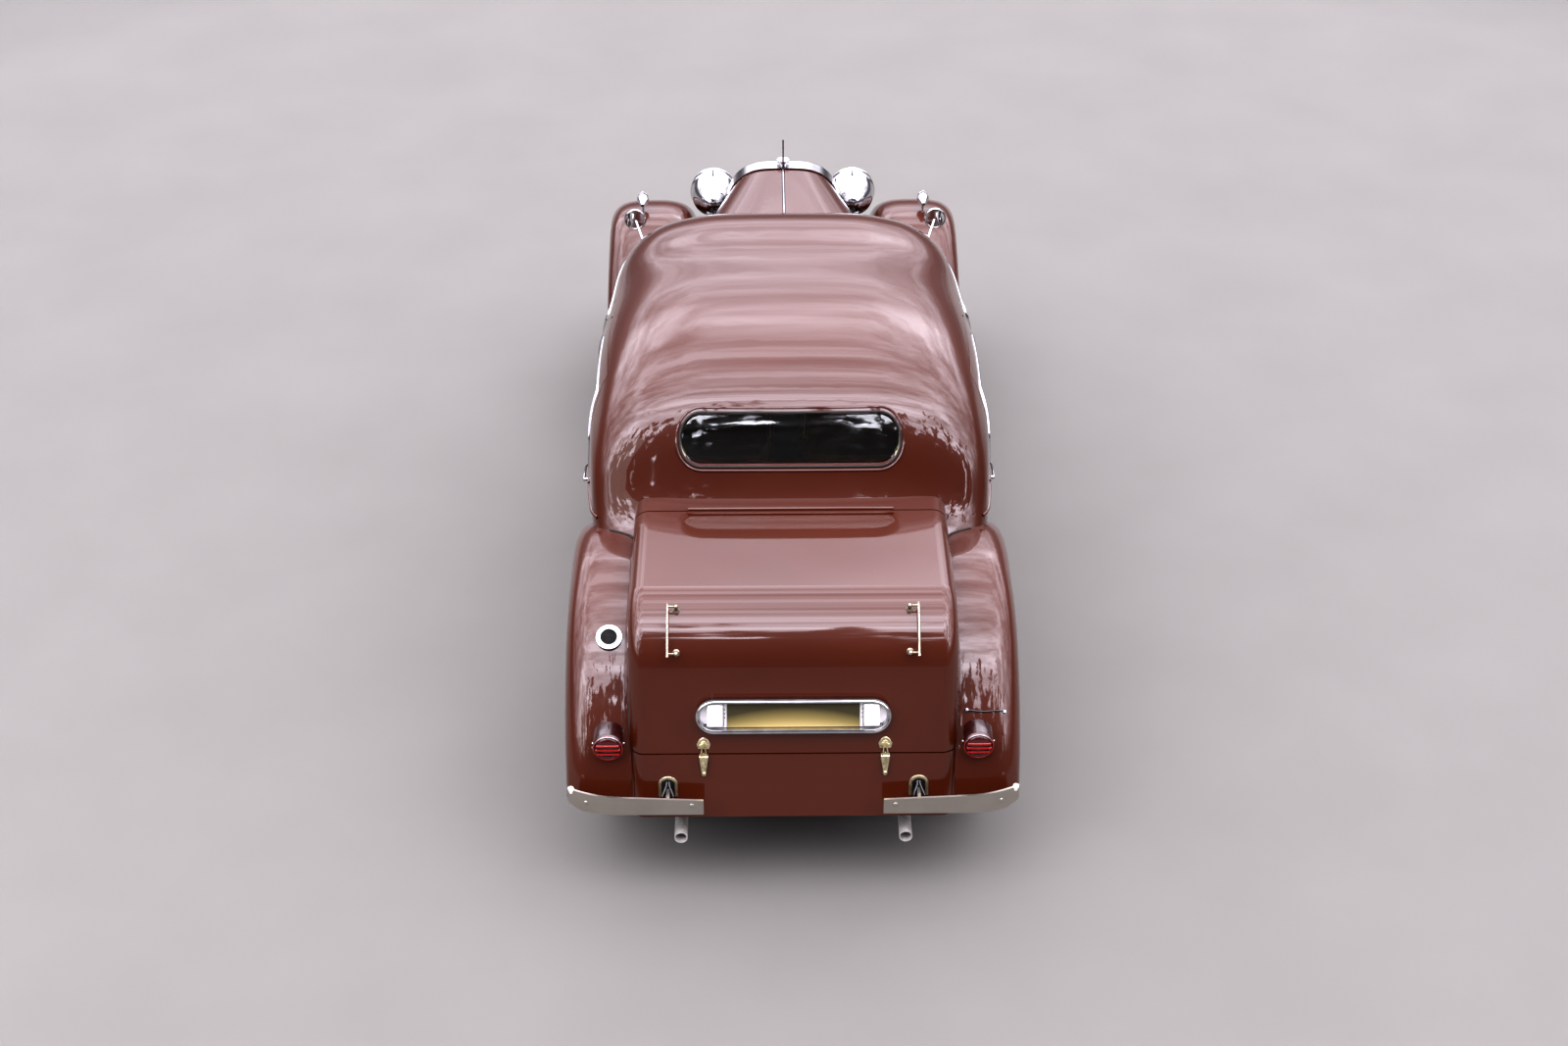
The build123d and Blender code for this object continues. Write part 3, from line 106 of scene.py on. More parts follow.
class Tree:
    """The nodes of a material or the world, with one method that adds a node, its settings and its links."""

    def __init__(self, name: str, world: bool = False) -> None:
        """Starts an empty material or world.

        Args:
            name: the finish's plain name.
            world: whether it is the world's.
        """
        self.kind = "World" if world else "Material"
        self.material = (bpy.data.worlds if world else bpy.data.materials).new(name)
        self.material.use_nodes = True
        self.tree = self.material.node_tree
        self.tree.nodes.clear()
        self.place = self.add("TexCoord").outputs["Generated" if world else "Object"]

    def add(self, kind: str, settings: dict | None = None, **inputs: object) -> bpy.types.Node:
        """Adds a node.

        Args:
            kind: the node type's name after "ShaderNode".
            settings: attributes of the node itself.
            inputs: socket names with underscores for spaces, or i and a number, each a value or
                another node's socket.

        Returns:
            The new node.
        """
        node = self.tree.nodes.new("ShaderNode" + kind)
        for key, value in (settings or {}).items():
            setattr(node, key, value)
        for key, value in inputs.items():
            name = int(key[1:]) if key[1:].isdigit() else key.replace("_", " ")
            if isinstance(value, bpy.types.NodeSocket):
                self.tree.links.new(value, node.inputs[name])
            else:
                node.inputs[name].default_value = value
        return node

    def ramp(self, source: bpy.types.NodeSocket, *stops: tuple[float, str | float]) -> bpy.types.NodeSocket:
        """Colours or greys a value by stops.

        Args:
            source: the value, 0 to 1.
            stops: places with their hex colour or their grey level.

        Returns:
            The colour socket.
        """
        node = self.add("ValToRGB", Fac=source)
        points = node.color_ramp.elements
        while len(points) < len(stops):
            points.new(0.5)
        for point, (at, shade) in zip(points, stops):
            point.position = at
            point.color = linear(shade) if isinstance(shade, str) else (shade, shade, shade, 1.0)
        return node.outputs["Color"]

    def mix(self, share: bpy.types.NodeSocket, low: object, high: object) -> bpy.types.NodeSocket:
        """Mixes two colours.

        Args:
            share: how much of the second.
            low: the first colour or its socket.
            high: the second colour or its socket.

        Returns:
            The colour socket.
        """
        node = self.add("Mix", {"data_type": "RGBA"}, i0=share, i6=low, i7=high)
        return node.outputs[2]

    def finish(self, shader: bpy.types.Node) -> bpy.types.Material:
        """Links the surface shader to the output.

        Args:
            shader: the node whose first output is the surface.

        Returns:
            The finished material.
        """
        out = self.add("Output" + self.kind)
        self.tree.links.new(shader.outputs[0], out.inputs["Surface"])
        return self.material


def grains(millimetres: float) -> float:
    """The noise scale whose spots are so many millimetres across."""
    return 1000.0 / millimetres


# ---------------------------------------------------------------- finishes
@dataclass(frozen=True)
class CoachPaint:
    """Hand-rubbed cellulose coach paint, sprayed and lacquered: dark, deep and mirror-glossy.

    Faces that look into the cabin carry leathercloth trim below and wool headlining above.
    """

    name: str = "coachwork_paint"
    base: str = "#401705"
    shade: str = "#3a1404"
    trim: str = "#6f523b"
    trim_dark: str = "#5a402c"
    cloth: str = "#b8a98d"
    cloth_dark: str = "#9c8e74"
    lined: bool = False
    middle: Place = (-0.15, 0.0, 0.95)
    skin: float = 0.806  # hinges stand outside this half width and stay painted
    turned_in: float = -0.12  # faces that look back at the middle more than this are lined
    waist: float = 1.02  # trim below it, headlining above
    nap: float = 0.45  # how much rougher the lining is than the paint

    def build(self) -> bpy.types.Material:
        """Makes the material.

        Returns:
            The material.
        """
        t = Tree(self.name)
        cloud = t.add("TexNoise", Vector=t.place, Scale=grains(900), Detail=3.0)
        body = t.ramp(cloud.outputs["Fac"], (0.35, self.shade), (0.65, self.base))
        # the sprayed coat's faint orange peel, drawn at 6 mm so that it shows at all
        peel = t.add("TexNoise", Vector=t.place, Scale=grains(6), Detail=2.0)
        bump = t.add("Bump", Strength=0.012, Distance=0.001, Height=peel.outputs["Fac"])
        haze = t.ramp(cloud.outputs["Fac"], (0.3, 0.4), (0.7, 0.5))
        common = {
            "IOR": 1.5, "Coat_Roughness": 0.025, "Coat_IOR": 1.5, "Specular_IOR_Level": 0.15,
            "Coat_Normal": bump.outputs["Normal"],
        }
        if not self.lined:
            return t.finish(t.add("BsdfPrincipled", Base_Color=body, Roughness=haze, Coat_Weight=1.0, **common))
        normal = t.add("TexCoord").outputs["Normal"]
        arm = t.add("VectorMath", {"operation": "SUBTRACT"}, i0=t.place, i1=self.middle)
        facing = t.add("VectorMath", {"operation": "DOT_PRODUCT"}, i0=arm.outputs[0], i1=normal)
        inward = t.add("Math", {"operation": "LESS_THAN"}, i0=facing.outputs["Value"], i1=self.turned_in)
        height = t.add("SeparateXYZ", Vector=t.place)
        wide = t.add("Math", {"operation": "ABSOLUTE"}, i0=height.outputs["Y"])
        within = t.add("Math", {"operation": "LESS_THAN"}, i0=wide.outputs[0], i1=self.skin)
        inside = t.add("Math", {"operation": "MULTIPLY"}, i0=inward.outputs[0], i1=within.outputs[0]).outputs[0]
        above = t.add("Math", {"operation": "GREATER_THAN"}, i0=height.outputs["Z"], i1=self.waist).outputs[0]
        # the cloth lining's nap, drawn at 4 mm
        weave = t.add("TexNoise", Vector=t.place, Scale=grains(4), Detail=3.0)
        lining = t.mix(
            above, t.ramp(weave.outputs["Fac"], (0.3, self.trim_dark), (0.7, self.trim)),
            t.ramp(weave.outputs["Fac"], (0.3, self.cloth_dark), (0.7, self.cloth)),
        )
        gloss = t.add("Math", {"operation": "MULTIPLY_ADD"}, i0=inside, i1=self.nap, i2=haze)
        coat = t.add("Math", {"operation": "SUBTRACT"}, i0=1.0, i1=inside)
        return t.finish(
            t.add(
                "BsdfPrincipled", Base_Color=t.mix(inside, body, lining), Roughness=gloss.outputs[0],
                Coat_Weight=coat.outputs[0], **common,
            )
        )


@dataclass(frozen=True)
class Metal:
    """A bare or plated metal: polished, satin, brushed, cast or tarnished by its numbers."""

    name: str
    colour: str
    dull: str
    rough: Pair
    spot: float = 60.0
    stretch: Place = (1.0, 1.0, 1.0)
    relief: float = 0.02

    def build(self) -> bpy.types.Material:
        """Makes the material.

        Returns:
            The material.
        """
        t = Tree(self.name)
        grain = t.add("Mapping", Vector=t.place, Scale=self.stretch)
        wear = t.add("TexNoise", Vector=grain.outputs[0], Scale=grains(self.spot), Detail=5.0)
        tone = t.ramp(wear.outputs["Fac"], (0.35, self.dull), (0.6, self.colour))
        low, high = self.rough
        gloss = t.ramp(wear.outputs["Fac"], (0.3, high), (0.7, low))
        bump = t.add("Bump", Strength=self.relief, Distance=0.001, Height=wear.outputs["Fac"])
        return t.finish(
            t.add("BsdfPrincipled", Base_Color=tone, Metallic=1.0, Roughness=gloss, Normal=bump.outputs["Normal"])
        )


@dataclass(frozen=True)
class Enamel:
    """Stoved or brushed enamel, moulded rubber or phenolic, with dust and faint mottling."""

    name: str
    colour: str
    dust: str
    rough: float
    spot: float = 30.0
    relief: float = 0.05
    coat: float = 0.0
    sheen: float = 0.0

    def build(self) -> bpy.types.Material:
        """Makes the material.

        Returns:
            The material.
        """
        t = Tree(self.name)
        mottle = t.add("TexNoise", Vector=t.place, Scale=grains(self.spot), Detail=5.0, Roughness=0.6)
        tone = t.ramp(mottle.outputs["Fac"], (0.4, self.colour), (0.75, self.dust))
        gloss = t.ramp(mottle.outputs["Fac"], (0.35, self.rough * 0.85), (0.7, min(1.0, self.rough * 1.15)))
        bump = t.add("Bump", Strength=self.relief, Distance=0.001, Height=mottle.outputs["Fac"])
        return t.finish(
            t.add(
                "BsdfPrincipled", Base_Color=tone, Roughness=gloss, Coat_Weight=self.coat,
                Coat_Roughness=0.06, Sheen_Weight=self.sheen, Normal=bump.outputs["Normal"],
            )
        )


@dataclass(frozen=True)
class Glass:
    """Clear, tinted or ribbed glass: float for windows, pressed with ribs for lamps."""

    name: str
    colour: str
    rough: float = 0.0
    ribs: float = 0.0  # rib pitch in millimetres, none at zero
    clear: float = 1.0
    glow: float = 0.0
    coat: float = 0.7

    def build(self) -> bpy.types.Material:
        """Makes the material.

        Returns:
            The material.
        """
        t = Tree(self.name)
        film = t.add("TexNoise", Vector=t.place, Scale=grains(120), Detail=2.0)
        smear = t.ramp(film.outputs["Fac"], (0.4, self.rough), (0.8, self.rough + 0.03))
        extra = {}
        if self.ribs:
            wave = t.add("TexWave", {"bands_direction": "Y"}, Vector=t.place, Scale=grains(self.ribs) / 20 * math.pi)
            extra["Normal"] = t.add(
                "Bump", Strength=0.5, Distance=0.002, Height=wave.outputs["Fac"]
            ).outputs["Normal"]
        return t.finish(
            t.add(
                "BsdfPrincipled", Base_Color=linear(self.colour), Roughness=smear, IOR=1.5,
                Transmission_Weight=self.clear, Coat_Weight=self.coat, Emission_Color=linear(self.colour),
                Emission_Strength=self.glow, **extra,
            )
        )


@dataclass(frozen=True)
class Leather:
    """Vegetable-tanned hide: warm tan, darker and lighter in broad random patches, pebbled grain."""

    name: str = "tan_leather"
    high: str = "#845f3c"
    low: str = "#634327"

    def build(self) -> bpy.types.Material:
        """Makes the material.

        Returns:
            The material.
        """
        t = Tree(self.name)
        patch = t.add("TexNoise", Vector=t.place, Scale=grains(220), Detail=4.0)
        tone = t.ramp(patch.outputs["Fac"], (0.3, self.low), (0.7, self.high))
        # pebble grain of the hide, drawn at 3 mm
        pebble = t.add("TexVoronoi", {"feature": "SMOOTH_F1"}, Vector=t.place, Scale=grains(3))
        bump = t.add("Bump", Strength=0.25, Distance=0.0008, Height=pebble.outputs["Distance"])
        return t.finish(
            t.add("BsdfPrincipled", Base_Color=tone, Roughness=0.42, Specular_IOR_Level=0.5,
                  Normal=bump.outputs["Normal"])
        )


@dataclass(frozen=True)
class Walnut:
    """Burr walnut veneer under french polish: swirling dark figure, glossy."""

    name: str = "walnut"

    def build(self) -> bpy.types.Material:
        """Makes the material.

        Returns:
            The material.
        """
        t = Tree(self.name)
        swirl = t.add("TexNoise", Vector=t.place, Scale=grains(70), Detail=6.0, Distortion=2.2)
        tone = t.ramp(swirl.outputs["Fac"], (0.3, "#2c130a"), (0.5, "#6b3a1b"), (0.7, "#9a6030"))
        return t.finish(
            t.add("BsdfPrincipled", Base_Color=tone, Roughness=0.3, Coat_Weight=1.0, Coat_Roughness=0.05)
        )


@dataclass(frozen=True)
class PlateEnamel:
    """Blank number-plate enamel with its two lamps' light painted on: painted shade dark above, painted light in old
    gold below.
    """

    name: str = "plate_enamel"
    middle: Place = (-2.142, 0.0, 0.753)
    half_height: float = 0.05
    bow: float = 0.55  # how far the gold climbs towards the lamps

    def build(self) -> bpy.types.Material:
        """Makes the material.

        Returns:
            The material.
        """
        t = Tree(self.name)
        arm = t.add("VectorMath", {"operation": "SUBTRACT"}, i0=t.place, i1=self.middle)
        part = t.add("SeparateXYZ", Vector=arm.outputs[0])
        away = t.add("Math", {"operation": "MULTIPLY"}, i0=part.outputs["Y"], i1=part.outputs["Y"])
        low = t.add("Math", {"operation": "MULTIPLY_ADD"}, i0=away.outputs[0], i1=self.bow, i2=part.outputs["Z"])
        span = t.add("MapRange", Value=low.outputs[0], From_Min=-self.half_height, From_Max=self.half_height)
        # painted lamp light: old gold low on the plate, painted shade darker higher up
        tone = t.ramp(span.outputs["Result"], (0.05, "#b3a06c"), (0.42, "#83764a"), (0.8, "#3f3a27"))
        dust = t.add("TexNoise", Vector=t.place, Scale=grains(14), Detail=4.0)
        gloss = t.ramp(dust.outputs["Fac"], (0.3, 0.3), (0.7, 0.5))
        return t.finish(t.add("BsdfPrincipled", Base_Color=tone, Roughness=gloss, Metallic=0.2))


# ---------------------------------------------------------------- mesh making
class Maker:
    """Gathers the faces of one piece and turns them into an object."""

    def __init__(self) -> None:
        """Starts with no faces."""
        self.verts: list[Vector] = []
        self.faces: list[tuple[int, ...]] = []

    def rows(self, rows: Sequence[Sequence[Vector]], ring: bool = True, loop: bool = False, caps: bool = True) -> None:
        """Skins rows of points.

        Args:
            rows: rows with the same number of points.
            ring: whether each row closes on itself.
            loop: whether the last row joins the first.
            caps: whether the end rows are filled.
        """
        start, count, size = len(self.verts), len(rows), len(rows[0])
        for row in rows:
            self.verts.extend(Vector(p) for p in row)
        for i in range(count if loop else count - 1):
            a, b = start + i * size, start + (i + 1) % count * size
            for j in range(size if ring else size - 1):
                k = (j + 1) % size
                self.faces.append((a + j, a + k, b + k, b + j))
        if caps and not loop and ring:
            self.faces.append(tuple(start + j for j in reversed(range(size))))
            self.faces.append(tuple(start + (count - 1) * size + j for j in range(size)))

    def tube(self, points: Sequence[Vector], radius: float | Sequence[float], sides: int = 10,
             closed: bool = False, flat: float = 1.0, out: Vector | None = None) -> None:
        """Runs a round or flattened bar along points.

        Args:
            points: the centre line.
            radius: one radius, or one for each point.
            sides: corners round the bar.
            closed: whether the bar's ends meet.
            flat: the bar's height along out against its width.
            out: the direction in which a flattened bar is low.
        """
        points = [Vector(p) for p in points]
        last = len(points) - 1
        radii = radius if isinstance(radius, (list, tuple)) else [radius] * len(points)
        rows, up = [], None
        for i, p in enumerate(points):
            ahead = points[(i + 1) % len(points)] if closed or i < last else p
            behind = points[i - 1] if closed or i > 0 else p
            run = (ahead - behind).normalized()
            guide = out if out is not None else (up or run.orthogonal())
            up = (guide - run * guide.dot(run)).normalized()
            side = run.cross(up)
            rows.append([
                p + (up * (math.sin(a) * flat) + side * math.cos(a)) * radii[i]
                for a in (2 * math.pi * k / sides for k in range(sides))
            ])
        self.rows(rows, loop=closed)

    def lathe(self, profile: Outline, origin: Vector, axis: Vector, steps: int = 32,
              closed: bool = False) -> None:
        """Turns a profile about an axis.

        Args:
            profile: radius and distance along the axis at each corner.
            origin: a point on the axis.
            axis: the axis.
            steps: corners round the turn.
            closed: whether the profile closes on itself, as on a ring.
        """
        origin, axis = Vector(origin), Vector(axis).normalized()
        u = axis.orthogonal().normalized()
        v = axis.cross(u)
        rows = [
            [origin + axis * along + (u * math.cos(a) + v * math.sin(a)) * radius
             for a in (2 * math.pi * k / steps for k in range(steps))]
            for radius, along in profile
        ]
        self.rows(rows, loop=closed)

    def slab(self, outline: Sequence[Vector], normal: Vector, thick: float, edge: float = 0.0) -> None:
        """Raises a flat outline into a plate with softened upper edges.

        Args:
            outline: corners in order.
            normal: the way it rises.
            thick: its thickness.
            edge: the softening at its upper edge.
        """
        points = [Vector(p) for p in outline]
        normal = Vector(normal).normalized()
        rows = [points, [p + normal * (thick - edge) for p in points]]
        if edge:
            centre = sum(points, Vector()) / len(points)
            rows.append([
                p + normal * thick + (centre - p).normalized() * edge for p in points
            ])
        self.rows(rows)

    def both_sides(self) -> None:
        """Repeats everything on the other side of the car."""
        start = len(self.verts)
        self.verts.extend([Vector((p.x, -p.y, p.z)) for p in self.verts])
        self.faces.extend([tuple(start + k for k in reversed(f)) for f in self.faces])

    def mesh(self, name: str, smooth: float = CREASE) -> bpy.types.Mesh:
        """Makes the mesh, welded, turned outwards and shaded.

        Args:
            name: the mesh's name.
            smooth: edges sharper than so many degrees stay sharp.

        Returns:
            The mesh.
        """
        data = bpy.data.meshes.new(name)
        data.from_pydata(self.verts, [], self.faces)
        skin = bmesh.new()
        skin.from_mesh(data)
        bmesh.ops.remove_doubles(skin, verts=skin.verts, dist=WELD)
        bmesh.ops.recalc_face_normals(skin, faces=skin.faces)
        skin.to_mesh(data)
        skin.free()
        data.polygons.foreach_set("use_smooth", [True] * len(data.polygons))
        data.set_sharp_from_angle(angle=math.radians(smooth))
        return data


def place(data: bpy.types.Mesh, finish: bpy.types.Material, body: str) -> bpy.types.Object:
    """Stands a mesh in the scene as a piece that rides on a body.

    Args:
        data: the mesh, in place.
        finish: its material.
        body: the body it moves with.

    Returns:
        The piece.
    """
    data.materials.clear()
    data.materials.append(finish)
    piece = bpy.data.objects.new(data.name, data)
    bpy.context.scene.collection.objects.link(piece)
    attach(piece, body)
    LOG.info("%s: %d faces on %s", data.name, len(data.polygons), body)
    return piece


def settled(holder: bpy.types.Object) -> bpy.types.Mesh:
    """Turns an object with live modifiers into a plain mesh, and takes the modifiers off.

    Args:
        holder: the object.

    Returns:
        The plain mesh.
    """
    graph = bpy.context.evaluated_depsgraph_get()
    result = bpy.data.meshes.new_from_object(holder.evaluated_get(graph), depsgraph=graph)
    holder.modifiers.clear()
    return result


class Repeat:
    """A Geometry Nodes tree that repeats a part in a row or round a ring."""

    def __init__(self) -> None:
        """Builds the tree with its named inputs."""
        self.tree = bpy.data.node_groups.new("repeat", "GeometryNodeTree")
        face = self.tree.interface
        face.new_socket("Geometry", in_out="OUTPUT", socket_type="NodeSocketGeometry")
        face.new_socket("Geometry", in_out="INPUT", socket_type="NodeSocketGeometry")
        kinds = {"Count": "NodeSocketInt", "Step": "NodeSocketVector", "Turn": "NodeSocketVector",
                 "Finish": "NodeSocketMaterial"}
        self.ids = {
            name: face.new_socket(name, in_out="INPUT", socket_type=kind).identifier for name, kind in kinds.items()
        }
        new, link = self.tree.nodes.new, self.tree.links.new
        source, result = new("NodeGroupInput"), new("NodeGroupOutput")
        line, put = new("GeometryNodeMeshLine"), new("GeometryNodeInstanceOnPoints")
        order, turn = new("GeometryNodeInputIndex"), new("ShaderNodeVectorMath")
        real, dress = new("GeometryNodeRealizeInstances"), new("GeometryNodeSetMaterial")
        turn.operation = "SCALE"
        for start, output, end, entry in (
            (source, "Count", line, "Count"), (source, "Step", line, "Offset"), (source, "Turn", turn, 0),
            (order, 0, turn, "Scale"), (line, "Mesh", put, "Points"), (source, "Geometry", put, "Instance"),
            (turn, "Vector", put, "Rotation"), (put, "Instances", real, "Geometry"), (real, 0, dress, "Geometry"),
            (source, "Finish", dress, "Material"), (dress, 0, result, 0),
        ):
            link(start.outputs[output], end.inputs[entry])

    def __call__(self, part: bpy.types.Mesh, count: int, finish: bpy.types.Material,
                 step: Sequence[float] = (0, 0, 0), turn: Sequence[float] = (0, 0, 0),
                 shift: Sequence[float] = (0, 0, 0)) -> bpy.types.Mesh:
        """Repeats a part and gives the plain mesh.

        Args:
            part: the part, turned about the origin where it is repeated round a ring.
            count: how many.
            finish: the material.
            step: from one to the next, metres.
            turn: from one to the next, radians about each axis.
            shift: where the whole lot goes.

        Returns:
            The mesh.
        """
        holder = bpy.data.objects.new(part.name, part)
        bpy.context.scene.collection.objects.link(holder)
        modifier = holder.modifiers.new("repeat", "NODES")
        modifier.node_group = self.tree
        for name, value in (("Count", count), ("Step", Vector(step)), ("Turn", Vector(turn)), ("Finish", finish)):
            modifier[self.ids[name]] = value
        result = settled(holder)
        bpy.data.objects.remove(holder)
        result.name = part.name
        result.transform(Matrix.Translation(Vector(shift)))
        return result


class Skin:
    """CAD surfaces that fittings are laid on, found with straight lines of sight."""

    def __init__(self, nodes: dict[str, bpy.types.Object], *names: str) -> None:
        """Gathers the nodes' faces.

        Args:
            nodes: every CAD node by name.
            names: the ones to gather.
        """
        verts, faces, self.owners = [], [], []
        for name in names:
            data = nodes[name].data
            start = len(verts)
            verts.extend(v.co.copy() for v in data.vertices)
            for face in data.polygons:
                faces.append([start + k for k in face.vertices])
                self.owners.append(name)
        self.tree = BVHTree.FromPolygons(verts, faces)

    def hit(self, start: Sequence[float], way: Sequence[float]) -> tuple[Vector, Vector, str] | None:
        """Looks along a line.

        Args:
            start: where it starts.
            way: its direction.

        Returns:
            The point met, the surface's outward direction and the node, or nothing.
        """
        way = Vector(way).normalized()
        point, normal, index, _ = self.tree.ray_cast(Vector(start), way)
        if point is None:
            return None
        return point, normal if normal.dot(way) < 0 else -normal, self.owners[index]

    def path(self, starts: Sequence[Sequence[float]], way: Sequence[float], lift: float = 0.0,
             only: str = "") -> list[Vector]:
        """Lays a row of lines of sight on the surface.

        Args:
            starts: where the lines start.
            way: their direction.
            lift: how far the points stand off the surface.
            only: the one node whose points are kept.

        Returns:
            The points met.
        """
        found = (self.hit(start, way) for start in starts)
        return [h[0] + h[1] * lift for h in found if h and (not only or h[2] == only)]


def spread(start: float, end: float, count: int) -> list[float]:
    """Evenly spaced numbers from start to end."""
    return [start + (end - start) * i / (count - 1) for i in range(count)]


def mm(*pairs: Pair) -> list[Pair]:
    """A profile or outline given in millimetres, as metres."""
    return [(a / 1000, b / 1000) for a, b in pairs]


def hoop(centre: Vector, across: Vector, up: Vector, radius: float, count: int) -> list[Vector]:
    """Evenly spaced points round a circle.

    Args:
        centre: its centre.
        across: the direction of its first point.
        up: the direction a quarter of the way round.
        radius: its radius.
        count: how many points.

    Returns:
        The points.
    """
    turns = spread(0, 2 * math.pi * (count - 1) / count, count)
    return [centre + (across * math.cos(a) + up * math.sin(a)) * radius for a in turns]


def oblong(x0: float, y0: float, x1: float, y1: float) -> list[Pair]:
    """The four corners of a flat oblong, in order."""
    return [(x0, y0), (x1, y0), (x1, y1), (x0, y1)]


def finer(shape: Outline, span: float, parts: int) -> list[Pair]:
    """Splits the long sides of a closed outline.

    Args:
        shape: the outline.
        span: sides longer than this are split.
        parts: into how many.

    Returns:
        The finer outline.
    """
    made = []
    for i, (x, y) in enumerate(shape):
        to_x, to_y = shape[(i + 1) % len(shape)]
        count = parts if math.hypot(to_x - x, to_y - y) > span else 1
        made += [(x + (to_x - x) * k / count, y + (to_y - y) * k / count) for k in range(count)]
    return made


def rounded(corners: Outline, radius: float, steps: int = 6) -> list[Pair]:
    """Rounds the corners of a flat outline.

    Args:
        corners: the sharp corners in order.
        radius: the rounding.
        steps: points on each corner.

    Returns:
        The rounded outline.
    """
    made = []
    for i, corner in enumerate(corners):
        c = Vector(corner)
        before = (Vector(corners[i - 1]) - c).normalized()
        after = (Vector(corners[(i + 1) % len(corners)]) - c).normalized()
        half = before.angle(after) / 2
        reach = radius / math.tan(half)
        middle = c + (before + after).normalized() * (radius / math.sin(half))
        first, second = c + before * reach - middle, c + after * reach - middle
        turn = math.atan2(first.x * second.y - first.y * second.x, first.dot(second))
        for k in range(steps + 1):
            a = turn * k / steps
            made.append((
                middle.x + first.x * math.cos(a) - first.y * math.sin(a),
                middle.y + first.x * math.sin(a) + first.y * math.cos(a),
            ))
    return made


@dataclass(frozen=True)
class Facet:
    """A flat working face: points on it are given across, up and out."""

    origin: Vector
    across: Vector
    up: Vector

    def at(self, across: float, up: float, out: float = 0.0) -> Vector:
        """A point on or above the face."""
        return self.origin + self.across * across + self.up * up + self.across.cross(self.up) * out

    def loop(self, outline: Outline, out: float = 0.0) -> list[Vector]:
        """A flat outline laid on the face."""
        return [self.at(a, b, out) for a, b in outline]


# ---------------------------------------------------------------- workshop
@dataclass
class Kit:
    """What every sub-assembly works with: finishes, CAD nodes and the repeating tree."""

    finishes: dict[str, bpy.types.Material]
    nodes: dict[str, bpy.types.Object]
    repeat: Repeat

    def put(self, maker: Maker, name: str, finish: str, slot: str, body: str = "car_body") -> None:
        """Makes a piece from gathered faces.

        Args:
            maker: the faces.
            name: the piece's name.
            finish: its finish.
            slot: the record's slot; not used.
            body: the body it rides on.
        """
        place(maker.mesh(name), self.finishes[finish], body)

    def skin(self, *names: str) -> Skin:
        """The surfaces of some CAD nodes."""
        return Skin(self.nodes, *names)


